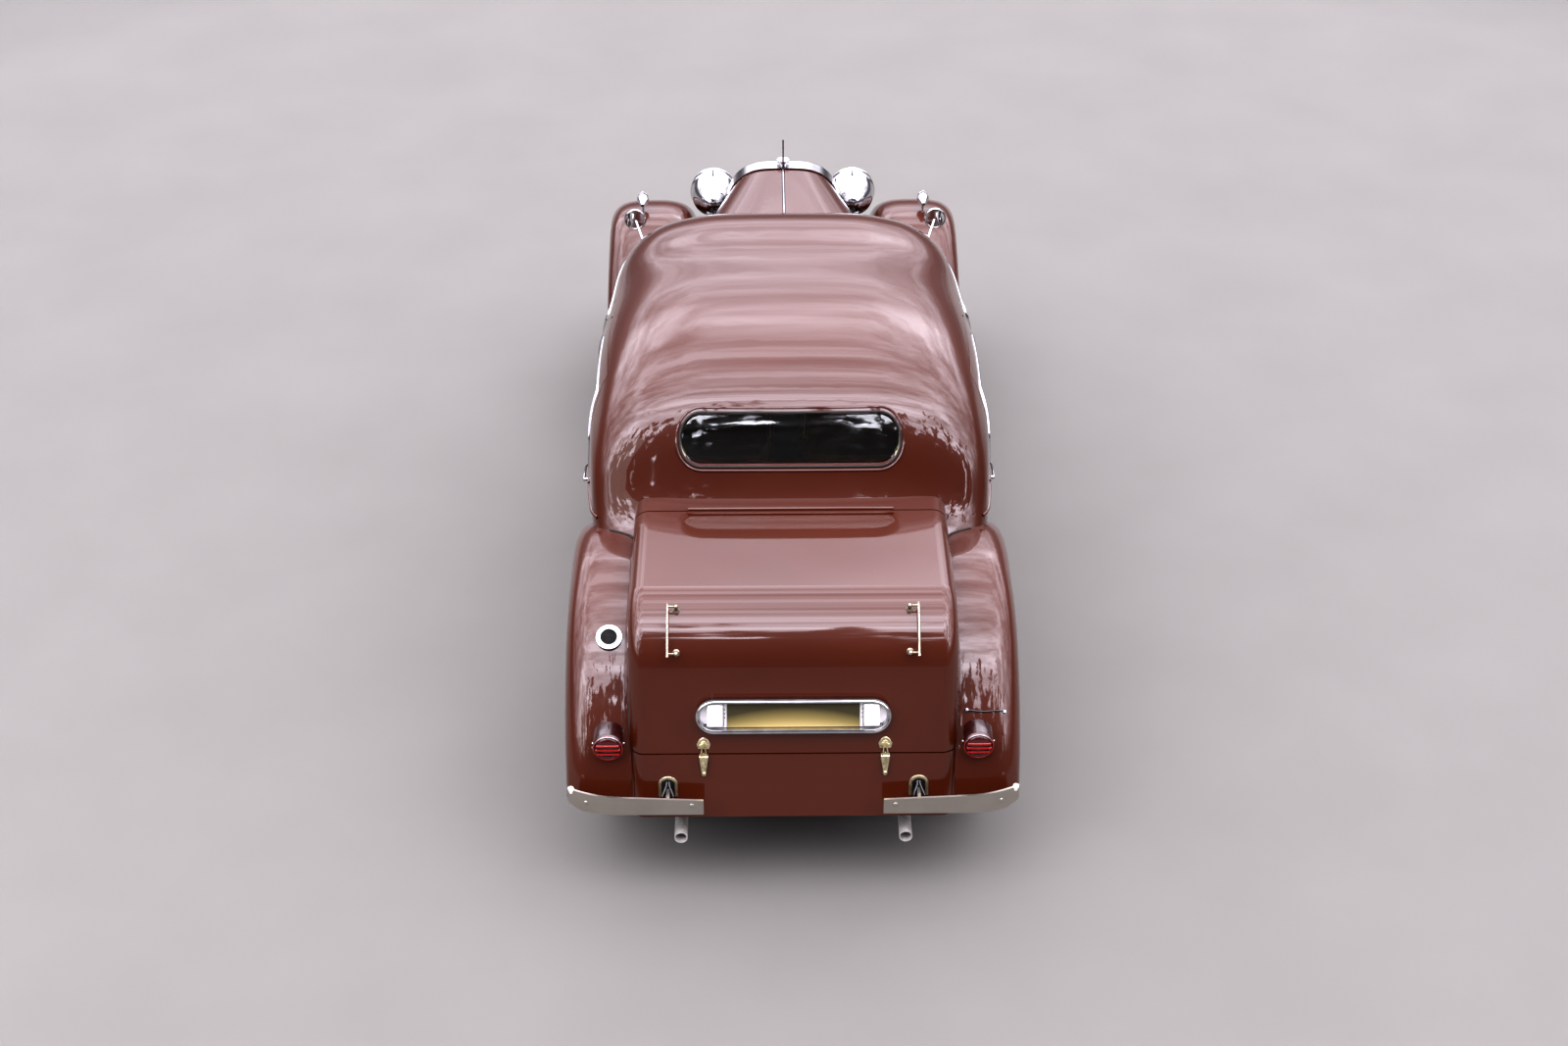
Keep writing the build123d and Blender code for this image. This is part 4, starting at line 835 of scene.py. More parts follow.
# ---------------------------------------------------------------- tail
@dataclass
class BootFurniture:
    """Grab handles, toggle latches and the forked bumper irons' escutcheons."""

    kit: Kit
    bar: float = 0.0045
    ball: float = 0.0092
    post: float = 0.03
    posts: tuple[tuple[Sequence[float], Sequence[float]], ...] = (
        ((-1.9617, 0.430, 1.0935), (-1.9579, 0.4625, 1.0955)),
        ((-2.0735, 0.4296, 0.9834), (-2.0751, 0.462, 0.9803)),
    )  # each post's foot, and where the bar's end stands beside it
    droop: float = 0.07  # how far the bar runs past its posts, against its length
    latch_out: float = 0.334
    latch_right: float = -0.008  # the right-hand latch stands this much further out
    latch_z: tuple[float, ...] = (0.650, 0.622, 0.585, 0.520)
    iron_out: float = 0.4685
    iron_z: tuple[float, ...] = (0.505, 0.478, 0.452)
    plate_half: float = 0.0335

    def handles(self) -> None:
        """Two upright grab handles on ball-ended posts."""
        skin = self.kit.skin("boot_lid")
        maker = Maker()
        foot_turning = mm((0, -3), (13, -3), (13.5, 1), (11, 4), (7.5, 8), (6, 14), (6.2, 20))
        look, tips = Vector((0.2, 0, -0.25)), []
        for foot, arm in self.posts:
            base, normal, _ = skin.hit(Vector(foot) - look, look)
            head = base + normal * self.post
            maker.lathe(foot_turning, base, normal, 20)
            maker.lathe([(0.0, -0.0105)] + [(self.ball * math.cos(a), self.ball * math.sin(a))
                                            for a in spread(-1.3, 1.3, 9)] + [(0.0, 0.0105)], head, normal, 20)
            reach = Vector(arm) - Vector(foot)
            tip = head + Vector((reach.x * 0.3, reach.y, 0))
            maker.tube([head, head + (tip - head) * 0.7, tip], [self.bar, self.bar * 0.9, self.bar * 1.1], 10)
            tips.append((tip, normal))
        (top, lean_top), (low, lean_low) = tips
        bow = (lean_top + lean_low).normalized() * 0.006
        run = low - top
        line = [top - run * self.droop, top, top + run * 0.3 + bow, top + run * 0.7 + bow, low, low + run * self.droop]
        maker.tube(line, [self.bar * 1.4, self.bar, self.bar * 1.05, self.bar * 1.05, self.bar, self.bar * 1.4], 10)
        maker.both_sides()
        self.kit.put(maker, "boot_handles", "nickel", "chrome", "boot_lid")

    def latches(self) -> None:
        """Toggle latches: a five-sided hasp on the lid, a collar, and a tapering lever below."""
        low_skin, lid_skin = self.kit.skin("boot_body"), self.kit.skin("boot_lid")
        hasps, levers = Maker(), Maker()
        for side in SIDES.values():
            y = side * self.latch_out + (0.0 if side > 0 else self.latch_right)
            skins = (lid_skin, lid_skin, low_skin, low_skin)
            top, seam, under, foot = (skin.hit((BEHIND, y, z), X)[0] for skin, z in zip(skins, self.latch_z))
            up = (top - foot).normalized()
            plate = Facet(seam, RIGHT, (top - seam).normalized())
            out = plate.across.cross(plate.up)
            head = mm((-21, -4), (21, -4), (26, 16), (15, 34), (4, 41), (-4, 41), (-15, 34), (-26, 16))
            hasps.slab(plate.loop(head), out, 0.006, 0.002)
            hasps.slab([plate.at(a * 0.55, 0.016 + (b - 0.016) * 0.55, 0.005) for a, b in head], out, 0.004, 0.0015)
            hasps.tube([plate.at(-0.014, 0.012, 0.008), plate.at(0, 0.02, 0.014), plate.at(0.014, 0.012, 0.008)],
                       0.0035, 8)
            hook = plate.at(0, 0.004, 0.012)
            saddle = ((-0.017, -0.012), (-0.017, 0.014), (0.017, 0.014), (0.017, -0.012))
            levers.slab([under + Y * a + up * h for a, h in saddle], out, 0.01, 0.002)
            for s in (-1, 1):
                levers.tube([under + out * 0.012 + Y * (s * 0.011), hook + Y * (s * 0.006)], 0.0028, 8)
            blade = mm((16, 8), (15.5, -14), (10, -50), (8.5, -68), (0, -74))
            shape = blade + [(-a, b) for a, b in reversed(blade[:-1])]
            lever = Facet(under + out * 0.008, RIGHT, up)
            levers.slab(lever.loop(shape), out, 0.008, 0.003)
            levers.lathe(mm((0, 0), (6, 0), (6, 4), (3.5, 6.5), (0, 6.5)),
                         lever.at(0, -0.06, 0.006), out, 12)
            for h in (0.02, -0.022):
                rivet = mm((0, 0), (4.2, 0), (3.6, 2.5), (0, 3))
                levers.lathe(rivet, lever.at(0, h, 0.007), out, 10)
        self.kit.put(hasps, "latch_hasps", "pale_brass", "chrome", "boot_lid")
        self.kit.put(levers, "latch_levers", "pale_brass", "chrome")

    def irons(self) -> None:
        """Arched escutcheons round the bumper irons, each with its forked stay and a black sheet of painted shade
        inside its arch.
        """
        skin = self.kit.skin("boot_body")
        frames, recess, forks = Maker(), Maker(), Maker()
        for side in SIDES.values():
            y, half = side * self.iron_out, self.plate_half * 0.92
            beside = y - side * 0.045
            high, middle, low = (skin.hit((BEHIND, beside, z), X)[0] for z in self.iron_z)
            plane = Facet(Vector((middle.x, y, middle.z)), RIGHT, (high - low).normalized())
            out = plane.across.cross(plane.up)
            arch = [(math.cos(a), math.sin(a)) for a in spread(-0.15, math.pi + 0.15, 15)]
            line = [(half, -0.046), *[(half * c, 0.002 + 0.026 * s) for c, s in arch], (-half, -0.046)]
            frames.tube([plane.at(a, b, 0.003) for a, b in line], 0.0062, 8, flat=0.75, out=out)
            # a black sheet inside the arch: painted shade where the iron goes in
            recess.slab([plane.at(a * 0.93, b, -0.002) for a, b in line], out, 0.0035)
            for s in (-1, 1):
                forks.tube([plane.at(s * 0.004, 0.012, 0.004), plane.at(s * 0.006, 0.0, 0.014),
                            plane.at(s * 0.016, -0.02, 0.03), plane.at(s * 0.022, -0.03, 0.045)], 0.0036, 8)
        self.kit.put(frames, "iron_escutcheons", "pale_brass", "chrome")
        self.kit.put(recess, "iron_recesses", "black", "black_paint")
        self.kit.put(forks, "iron_forks", "black", "black_paint")

    def build(self) -> None:
        """Makes all of it."""
        self.handles()
        self.latches()
        self.irons()


@dataclass
class PlateBox:
    """The long number-plate box: blank enamelled plate between two silvered ends with lamp blocks."""

    kit: Kit
    origin: Place = (-2.142, 0.0, 0.753)
    lean: float = 75.0
    half: float = 0.345
    half_high: float = 0.05
    plate: float = 0.245
    cut: float = 0.03  # the ends' cut-off corners
    lamp_out: float = 0.29
    lamp_half: Pair = (0.029, 0.043)
    board_lift: float = 0.0065

    def build(self) -> None:
        """Makes the box's fittings."""
        a = math.radians(self.lean)
        face = Facet(Vector(self.origin), RIGHT, Vector((math.cos(a), 0, math.sin(a))))
        out = face.across.cross(face.up)
        board, ends, lamps, trim = Maker(), Maker(), Maker(), Maker()
        h = self.half_high
        lift, cut = self.board_lift, self.cut
        board.slab(face.loop(oblong(-self.plate, -h, self.plate, h), lift), out, 0.003, 0.0008)
        for s in (-1, 1):
            inner, outer = s * (self.plate + 0.002), s * self.half
            flat = [(inner, -h), (outer - s * cut, -h), (outer, -h + cut), (outer, h - cut), (outer - s * cut, h),
                    (inner, h)]
            ends.slab(face.loop(flat if s > 0 else flat[::-1], lift), out, 0.004, 0.001)
            middle, (wide, high) = s * self.lamp_out, self.lamp_half
            cover = rounded(oblong(middle - wide, -high, middle + wide, high), 0.007, 4)
            lamps.slab(face.loop(cover, 0.011), out, 0.016, 0.005)
            hinge, bead = middle - s * 0.034, middle - s * 0.0315
            for t in (-0.012, 0.004, 0.02):
                trim.tube([face.at(hinge, t, 0.014), face.at(hinge, t + 0.006, 0.014)], 0.0035, 8)
            trim.tube([face.at(bead, -high, 0.015), face.at(bead, high, 0.015)], 0.003, 8)
            for y in (-h + 0.012, h - 0.012):
                screw = mm((0, 0), (5, 0), (4, 2.5), (0, 3))
                trim.lathe(screw, face.at(s * 0.325, y, 0.0105), out, 10)
        lip = rounded(oblong(-0.361, -0.068, 0.361, 0.068), 0.0665, 8)
        rim = [(x * 0.9845, y * 0.86) for x, y in lip]
        trim.tube(face.loop(rim, 0.0295), 0.0035, 8, closed=True)
        self.kit.put(board, "number_plate_blank", "plate", "black_paint", "boot_lid")
        self.kit.put(ends, "plate_box_ends", "silver_paint", "satin_aluminium", "boot_lid")
        self.kit.put(lamps, "plate_lamps", "opal", "glass", "boot_lid")
        self.kit.put(trim, "plate_box_trim", "chrome", "chrome", "boot_lid")


@dataclass
class RearLights:
    """Drum lamps: red lens with three bars, a bright upper rim, side screws and a black pedestal."""

    kit: Kit
    middle: Place = (-2.200, 0.688, 0.640)
    radius: float = 0.057
    lead_radius: float = 0.0032

    def build(self) -> None:
        """Makes lenses, rims, pedestals and the lead beside the right lamp."""
        lens, bars, rim, foot = Maker(), Maker(), Maker(), Maker()
        r, centre = self.radius, Vector(self.middle)
        dome = [(r * 0.84 * math.cos(a), 0.001 + 0.012 * math.sin(a)) for a in spread(0.0, 1.5, 7)]
        lens.lathe([(0.0, -0.003), (r * 0.84, -0.003), *dome, (0.0, 0.0131)], centre, BACK, 32)
        for h in (-0.019, 0.0, 0.019):
            half = math.sqrt((r * 0.8) ** 2 - h * h)
            bars.tube([centre + Vector((-0.0125 - 0.001 * math.cos(t * 1.4), t * half, h)) for t in spread(-1, 1, 9)],
                      0.0042, 8)
        rim.tube([centre + Vector((-0.003, r * 0.93 * math.cos(a), r * 0.93 * math.sin(a)))
                  for a in spread(0.5, math.pi - 0.5, 17)], 0.0022, 8)
        for s in (-1, 1):
            rim.lathe(mm((0, 0), (5, 0), (4, 4), (0, 5)),
                      centre + Vector((0.030, s * (r - 0.001), 0)), Vector((0, s, 0)), 12)
        bars.tube(hoop(centre - X * 0.001, Y, Z, r * 0.93, 36), 0.003, 8, closed=True)
        root = [centre + Vector((0.088, -0.012, -0.045)), centre + Vector((0.093, -0.02, -0.075))]
        foot.tube(root, [0.026, 0.032], 16, flat=0.6)
        for maker in (lens, bars, rim, foot):
            maker.both_sides()
        self.kit.put(lens, "tail_lamp_lenses", "red_glass", "tail_lamp_red")
        self.kit.put(bars, "tail_lamp_bars", "red_bar", "tail_lamp_red")
        self.kit.put(rim, "tail_lamp_rims", "chrome", "chrome")
        self.kit.put(foot, "tail_lamp_pedestals", "black", "black_paint")
        self.lead()

    def lead(self) -> None:
        """The short clipped lead that lies across the right wing."""
        starts = [(-2.05 - 0.004 * math.sin(k / 2), -0.650 - 0.141 * k / 8, 0.95) for k in range(9)]
        line = self.kit.skin("rear_wings").path(starts, (-0.09, 0, -1), self.lead_radius)
        lead, clips = Maker(), Maker()
        lead.tube(line, self.lead_radius, 8)
        for p in (line[0], line[-1]):
            clips.lathe(mm((0, -3), (8, -3), (8, 3), (5, 7), (0, 8)), p, Z, 12)
        self.kit.put(lead, "wing_lead", "black", "black_paint")
        self.kit.put(clips, "wing_lead_clips", "chrome", "chrome")


@dataclass
class TailTrim:
    """Bumper bolts and knobs, the filler's mouth, back-light rubber and wing piping."""

    kit: Kit
    bolts: tuple[Pair, ...] = ((0.3785, 0.445), (0.7727, 0.446))
    knob_foot: Place = (-2.256, 0.828, 0.478)
    filler: Place = (-1.870, 0.690, 0.906)
    filler_lean: float = 31.0
    light_half: float = 0.430
    light_z: Pair = (1.235, 1.410)
    light_round: float = 0.080

    def bumpers(self) -> None:
        """Domed bolts through the blades and a white guide knob at each outer end."""
        skin, bolts, knobs = self.kit.skin("bumpers"), Maker(), Maker()
        for y, z in self.bolts:
            point, out, _ = skin.hit((BEHIND, y, z), X)
            bolts.lathe(mm((0, -2), (10, -2), (10, 1), (8, 3), (4, 4.5), (0, 5)), point, out, 20)
        knobs.lathe(mm((0, -2), (7, -2), (7.5, 6), (11, 10), (11.5, 16), (9, 22), (4, 25.5),
                       (0, 26)), self.knob_foot, Z, 16)
        bolts.both_sides()
        knobs.both_sides()
        self.kit.put(bolts, "bumper_bolts", "satin", "satin_aluminium")
        self.kit.put(knobs, "bumper_knobs", "ivory", "satin_aluminium")

    def filler_mouth(self) -> None:
        """A black disc of painted shade for the filler's dark throat inside its ring, and a rolled lip."""
        a = math.radians(self.filler_lean)
        axis, level = Vector((-math.sin(a), 0, math.cos(a))), Vector((math.cos(a), 0, math.sin(a)))
        top = Vector(self.filler)
        throat, lip = Maker(), Maker()
        # a black disc of painted shade where the open neck looks dark
        throat.lathe(mm((0, 7), (31.5, 8.8), (31.5, 9.4), (0, 9.6)), top, axis, 32)
        lip.tube(hoop(top + axis * 0.0092, level, Y, 0.0330, 32), 0.0026, 10, closed=True)
        self.kit.put(throat, "filler_throat", "pitch_dark", "black_paint")
        self.kit.put(lip, "filler_lip", "chrome", "chrome")

    def back_light(self) -> None:
        """Painted bead and black rubber round the back light, laid on the tail panel."""
        pane, panel = self.kit.skin("body_shell", "fixed_glass"), self.kit.skin("body_shell")
        z0, z1 = self.light_z
        rubber, bead = Maker(), Maker()
        for maker, skin, grow, size, lift in (
            (rubber, pane, 0.004, 0.0045, 0.0005), (bead, panel, 0.018, 0.006, -0.001),
        ):
            wide = self.light_half + grow
            shape = rounded(oblong(-wide, z0 - grow, wide, z1 + grow), self.light_round + grow, 8)
            starts = [(-2.4, y, z) for y, z in finer(shape, 0.1, 12)]
            maker.tube(skin.path(starts, X, lift), size, 8, closed=True)
        self.kit.put(rubber, "back_light_rubber", "rubber", "board_rubber")
        self.kit.put(bead, "back_light_bead", "paint", "coachwork_paint")

    def piping(self) -> None:
        """Black beading in the joint between wing and body."""
        wing = self.kit.skin("rear_wings", "body_shell", "boot_body", "boot_lid")
        line = []
        for x in spread(-1.20, -2.12, 40):
            height = 1.25 - max(0, -x - 1.6) * 0.4
            hits = [wing.hit((x, y, height), DOWN) for y in spread(0.74, 0.56, 46)]
            last = next((a for a, b in zip(hits, hits[1:]) if a and b and a[2] == "rear_wings" != b[2]), None)
            if last:
                line.append(last[0] + Vector((0, -0.003, 0.002)))
        smooth = [line[0]] + [(a + b * 2 + c) / 4 for a, b, c in zip(line, line[1:], line[2:])] + [line[-1]]
        maker = Maker()
        maker.tube(smooth, 0.0042, 8)
        maker.both_sides()
        self.kit.put(maker, "wing_piping", "rubber", "board_rubber")

    def build(self) -> None:
        """Makes all of it."""
        self.bumpers()
        self.filler_mouth()
        self.back_light()
        self.piping()


# ---------------------------------------------------------------- front
@dataclass
class FrontDetail:
    """Lenses, mirrors, radiator shutters, bonnet louvres and catches, screen frame and wipers."""

    kit: Kit
    lamp: Place = (1.862, 0.352, 0.968)
    lamp_radius: float = 0.118
    side_lamp: Place = (1.725, 0.704, 1.010)
    mirror: Place = (0.680, 0.684, 1.405)
    slats: int = 27
    slat_x: float = 1.716
    louvres: int = 22
    louvre_x: Pair = (0.985, 1.545)
    louvre_z: Place = (0.64, 0.75, 0.86)
    catch_x: Pair = (0.955, 1.585)
    catch_z: float = 0.925
    wiper_out: float = 0.2

    def lamps(self) -> None:
        """Ribbed lenses, plated rims, top spikes and the side lamps' lenses."""
        skin = self.kit.skin("front_lamps")
        lens, rim, spike = Maker(), Maker(), Maker()
        x, y, z = self.lamp
        face = Vector((x + 0.080, y, z))
        r = self.lamp_radius - 0.012
        dome = [(r * math.cos(a), 0.016 * math.sin(a)) for a in spread(0, 1.45, 9)]
        lens.lathe([(0.0, -0.002), (r, -0.002), *dome, (0.0, 0.0161)], face, X, 48)
        rim.tube(hoop(face + X * 0.001, Y, Z, r + 0.003, 48), 0.0062, 10, closed=True)
        top = skin.hit((x - 0.01, y, 1.4), DOWN)[0]
        spike.lathe(mm((0, -4), (11, -4), (11, 0), (6, 4), (4.2, 14), (2.8, 30), (0.8, 42), (0, 42.5)), top, Z, 14)
        sx, sy, sz = self.side_lamp
        front = skin.hit((2.2, sy, sz), BACK)[0]
        lens.lathe(mm((0, -3), (21, -3), (21, 1), (18, 8), (10, 12.5), (0, 14)),
                   front, X, 24)
        rim.tube(hoop(front, Y, Z, 0.0225, 24), 0.003, 8, closed=True)
        crown = skin.hit((sx, sy, 1.3), DOWN)[0]
        spike.lathe(mm((0, -3), (7, -3), (7, 2), (4, 6), (4.5, 13), (0, 17)),
                    crown, Z, 12)
        for maker in (lens, rim, spike):
            maker.both_sides()
        self.kit.put(lens, "head_and_side_lamp_lenses", "lamp_glass", "glass")
        self.kit.put(rim, "lamp_rims", "chrome", "chrome")
        self.kit.put(spike, "lamp_spikes", "chrome", "chrome")

    def mirrors(self) -> None:
        """Silvered glasses in beaded rims, facing the driver."""
        skin, glass, rim = self.kit.skin("mirrors"), Maker(), Maker()
        x, y, z = self.mirror
        face = skin.hit((x - 0.5, y, z), X)[0]
        glass.lathe(mm((0, -1), (43, -1), (43, 1.4), (20, 2.2), (0, 2.4)), face, BACK, 40)
        rim.tube(hoop(face - X * 0.001, Y, Z, 0.0455, 40), 0.0034, 8, closed=True)
        for maker in (glass, rim):
            maker.both_sides()
        self.kit.put(glass, "mirror_glasses", "mirror", "glass")
        self.kit.put(rim, "mirror_rims", "chrome", "chrome")

    def radiator(self) -> None:
        """Upright shutters fitted to the shell's arch, and a blank front plate with the bumper's bolts."""
        skin, slats = self.kit.skin("radiator_shell"), Maker()
        low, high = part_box("radiator_core")
        x, section = self.slat_x, ((-0.006, -0.0062), (0.004, -0.005), (0.009, 0.0), (0.004, 0.005), (-0.006, 0.0062))
        for y in spread(low.y + 0.012, high.y - 0.012, self.slats):
            up, down = skin.hit((x, y, 0.85), Z), skin.hit((x, y, 0.85), DOWN)
            top = up[0].z if up else high.z
            foot = down[0].z if down else low.z
            if top - foot > 0.1:
                slats.slab([(x + a, y + b, foot + 0.001) for a, b in section], Z, top - foot - 0.002)
        self.kit.put(slats, "radiator_shutters", "chrome", "chrome")
        at = self.kit.skin("bumpers").hit((2.6, 0.0, 0.445), BACK)[0].x
        plate, bolts = Maker(), Maker()
        shape = rounded(oblong(-0.26, 0.395, 0.26, 0.505), 0.012, 4)
        plate.slab([(at + 0.0005, a, b) for a, b in shape], X, 0.0035, 0.001)
        for s in (-1, 1):
            bolts.lathe(mm((0, 0), (6, 0), (5, 3), (0, 3.5)), (at + 0.004, s * 0.2, 0.45), X, 12)
            bolts.lathe(mm((0, 0), (13.5, 0), (11, 5), (6, 7.5), (0, 8)),
                        (at, s * 0.36, 0.445), X, 20)
        self.kit.put(plate, "front_plate_blank", "front_plate", "black_paint")
        self.kit.put(bolts, "front_bumper_bolts", "chrome", "chrome")

    def bonnet(self) -> None:
        """Pressed louvres and four spring catches along both sides."""
        skin, louvres, catches = self.kit.skin("bonnet_sides"), Maker(), Maker()
        for x in spread(*self.louvre_x, self.louvres):
            foot, middle, top = (skin.hit((x, BESIDE, z), RIGHT) for z in self.louvre_z)
            if not (foot and middle and top):
                continue
            line = [foot[0].lerp(top[0], t) for t in (0.0, 0.04, 0.12, 0.5, 0.88, 0.96, 1.0)]
            out = middle[1]
            along = out.cross(Z).normalized()
            along = along if along.x > 0 else -along
            lifts = (0.0, 0.4, 0.85, 1.0, 0.85, 0.4, 0.0)
            louvres.rows([
                [p - along * 0.009 * (0.4 + 0.6 * h) - out * 0.002,
                 p - along * 0.009 * (0.4 + 0.6 * h) + out * 0.0065 * h,
                 p - along * 0.004 * h + out * 0.0075 * h, p + along * 0.008 * h + out * 0.0012 * h,
                 p + along * 0.0095 * (0.3 + 0.7 * h) - out * 0.002] for p, h in zip(line, lifts)
            ])
        for x in self.catch_x:
            p, out, _ = skin.hit((x, BESIDE, self.catch_z), RIGHT)
            across = out.cross(Z).normalized()
            across = across if across.x > 0 else -across
            shape = rounded(oblong(-0.009, -0.03, 0.009, 0.028), 0.008, 4)
            catches.slab([p + across * a + Z * b for a, b in shape], out, 0.006, 0.002)
            catches.tube([p + out * 0.006 - Z * 0.02, p + out * 0.016 - Z * 0.005, p + out * 0.012 + Z * 0.022],
                         0.0045, 8)
        louvres.both_sides()
        catches.both_sides()
        self.kit.put(louvres, "bonnet_louvres", "paint", "coachwork_paint")
        self.kit.put(catches, "bonnet_catches", "chrome", "chrome")

    def screen(self) -> None:
        """Plated windscreen frame, laid round the glass's outline, and two wipers."""
        points = [v.co for v in self.kit.nodes["fixed_glass"].data.vertices if v.co.x > 0.42]
        top, foot = max(points, key=lambda p: p.z), min(points, key=lambda p: p.z)
        up = Vector((top.x - foot.x, 0, top.z - foot.z)).normalized()
        out = Vector((up.z, 0, -up.x))
        level = max(p.dot(out) for p in points)
        flat = sorted({(round(p.y, 4), round(p.dot(up), 4)) for p in points})
        hull: list[Pair] = []
        for order in (flat, flat[::-1]):
            part: list[Pair] = []
            for p in order:
                while len(part) > 1 and (part[-1][0] - part[-2][0]) * (p[1] - part[-2][1]) <= (
                        part[-1][1] - part[-2][1]) * (p[0] - part[-2][0]):
                    part.pop()
                part.append(p)
            hull += part[:-1]
        ring = [up * h + out * (level + 0.012) + Y * y * 0.985 for y, h in hull]
        frame, wipers = Maker(), Maker()
        frame.tube(ring, 0.0085, 8, closed=True, flat=0.8, out=out)
        self.kit.put(frame, "windscreen_frame", "chrome", "chrome")
        low = min(h for _, h in hull)
        for s in (-1, 1):
            root = up * (low + 0.012) + out * (level + 0.02) + Y * s * self.wiper_out
            tip = up * (low + 0.17) + out * (level + 0.026) + Y * (s * self.wiper_out + 0.16)
            wipers.lathe(mm((0, -20), (11, -20), (11, 4), (7, 9), (0, 10)), root, out, 16)
            wipers.tube([root + out * 0.004, root.lerp(tip, 0.5) + out * 0.006, tip], [0.004, 0.003, 0.0024], 8)
            middle = root.lerp(tip, 0.9) - out * 0.004
            way = (tip - root).normalized()
            wipers.tube([middle - way * 0.10, middle, middle + way * 0.10], 0.0032, 6)
        self.kit.put(wipers, "wipers", "black", "black_paint")

    def build(self) -> None:
        """Makes all of it."""
        self.lamps()
        self.mirrors()
        self.radiator()
        self.bonnet()
        self.screen()


# ---------------------------------------------------------------- sides
@dataclass
class SideDetail:
    """Window surrounds, waist mouldings, door handles and running boards."""

    kit: Kit
    lights: dict[str, tuple[Pair, ...]] = field(default_factory=lambda: {
        "front": ((-0.062, 1.045), (0.545, 1.045), (0.440, 1.325), (-0.062, 1.325)),
        "rear": ((-0.258, 1.045), (-0.880, 1.045), (-0.862, 1.180), (-0.730, 1.325), (-0.258, 1.325)),
    })
    grips: dict[str, tuple[float, int]] = field(default_factory=lambda: {"front": (0.50, -1), "rear": (-0.835, 1)})
    grip_z: float = 0.962
    waist: float = 1.018
    waist_x: tuple[float, float, int] = (0.86, -0.0063, 330)  # first place, step and count along the waist
    ribs: int = 13
    rib_pitch: float = 0.0175
    rib_first: float = 0.622

    def surrounds(self) -> None:
        """A thin plated bead round each door light."""
        for place_name, light in self.lights.items():
            shape = rounded(light, 0.040, 6)
            middle = Vector((sum(x for x, _ in shape), 0, sum(z for _, z in shape))) / len(shape)
            edge = []
            for x, z in finer(shape, 0.08, 8):
                point = Vector((x, 0, z))
                edge.append(point + (point - middle).normalized() * 0.007)
            for side, sign in SIDES.items():
                node = f"{place_name}_door_{side}"
                line = self.kit.skin(node).path([p + Y * (sign * BESIDE) for p in edge], (0, -sign, 0), 0.001)
                maker = Maker()
                maker.tube(line, 0.0058, 8, closed=True)
                self.kit.put(maker, f"{node}_light_surround", "chrome", "chrome", node)

    def mouldings(self) -> None:
        """The waist moulding, cut at each shut line."""
        for side, sign in SIDES.items():
            names = [f"front_door_{side}", f"rear_door_{side}", "body_shell", "scuttle"]
            skin, runs = self.kit.skin(*names), []
            first, step, count = self.waist_x
            for k in range(count):
                met = skin.hit((first + k * step, sign * BESIDE, self.waist), (0, -sign, 0))
                if not met or abs(met[0].y) < 0.45:
                    continue
                if runs and runs[-1][0] == met[2] and (met[0] - runs[-1][1][-1]).length < 0.02:
                    runs[-1][1].append(met[0] + met[1] * 0.0015)
                else:
                    runs.append((met[2], [met[0] + met[1] * 0.0015]))
            for name in names:
                maker = Maker()
                for owner, line in runs:
                    if owner == name and len(line) > 4:
                        maker.tube([line[0], *line[1:-1:4], line[-1]], 0.0075, 8)
                if maker.faces:
                    body = name if "door" in name else "car_body"
                    self.kit.put(maker, f"waist_moulding_{name}_{side}", "paint", "coachwork_paint", body)

    def handles(self) -> None:
        """Lever handles with escutcheons on the four doors."""
        for place_name, (x, way) in self.grips.items():
            for side, sign in SIDES.items():
                node = f"{place_name}_door_{side}"
                p, out, _ = self.kit.skin(node).hit((x, sign * BESIDE, self.grip_z), (0, -sign, 0))
                maker = Maker()
                shape = rounded(oblong(-0.014, -0.024, 0.014, 0.024), 0.0135, 5)
                maker.slab([p + Vector((a, 0, b)) - out * 0.002 for a, b in shape], out, 0.007, 0.002)
                head = p + out * 0.026
                maker.tube([p, p + out * 0.014, head], [0.008, 0.0065, 0.008], 12)
                along = X * way
                lever = [head - along * 0.008, head, head + along * 0.05 + out * 0.001, head + along * 0.095,
                         head + along * 0.112 - out * 0.006]
                maker.tube(lever, [0.0055, 0.0085, 0.0078, 0.0066, 0.004], 12, flat=0.7, out=out)
                self.kit.put(maker, f"{node}_handle", "chrome", "chrome", node)

    def boards(self) -> None:
        """Rubber ribs along each running board and a bright edge strip."""
        low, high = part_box("running_boards")
        x0, x1, top = low.x + 0.02, high.x - 0.02, high.z
        rib, edge = Maker(), Maker()
        rib.slab([(x, y, 0) for x, y in oblong(x0, -0.0045, x1, 0.0045)], Z, 0.0036, 0.0012)
        data = rib.mesh("board_rib")
        for side, sign in SIDES.items():
            rows = self.kit.repeat(data, self.ribs, self.kit.finishes["rubber"], step=(0, sign * self.rib_pitch, 0),
                                   shift=(0, sign * self.rib_first, top - 0.0004))
            rows.name = f"board_ribs_{side}"
            place(rows, self.kit.finishes["rubber"], "car_body")
        edge.tube([(x0 - 0.01, high.y - 0.006, top - 0.004), (x1 + 0.01, high.y - 0.006, top - 0.004)], 0.0065, 10)
        edge.both_sides()
        self.kit.put(edge, "board_edge_strips", "chrome", "chrome")

    def build(self) -> None:
        """Makes all of it."""
        self.surrounds()
        self.mouldings()
        self.handles()
        self.boards()


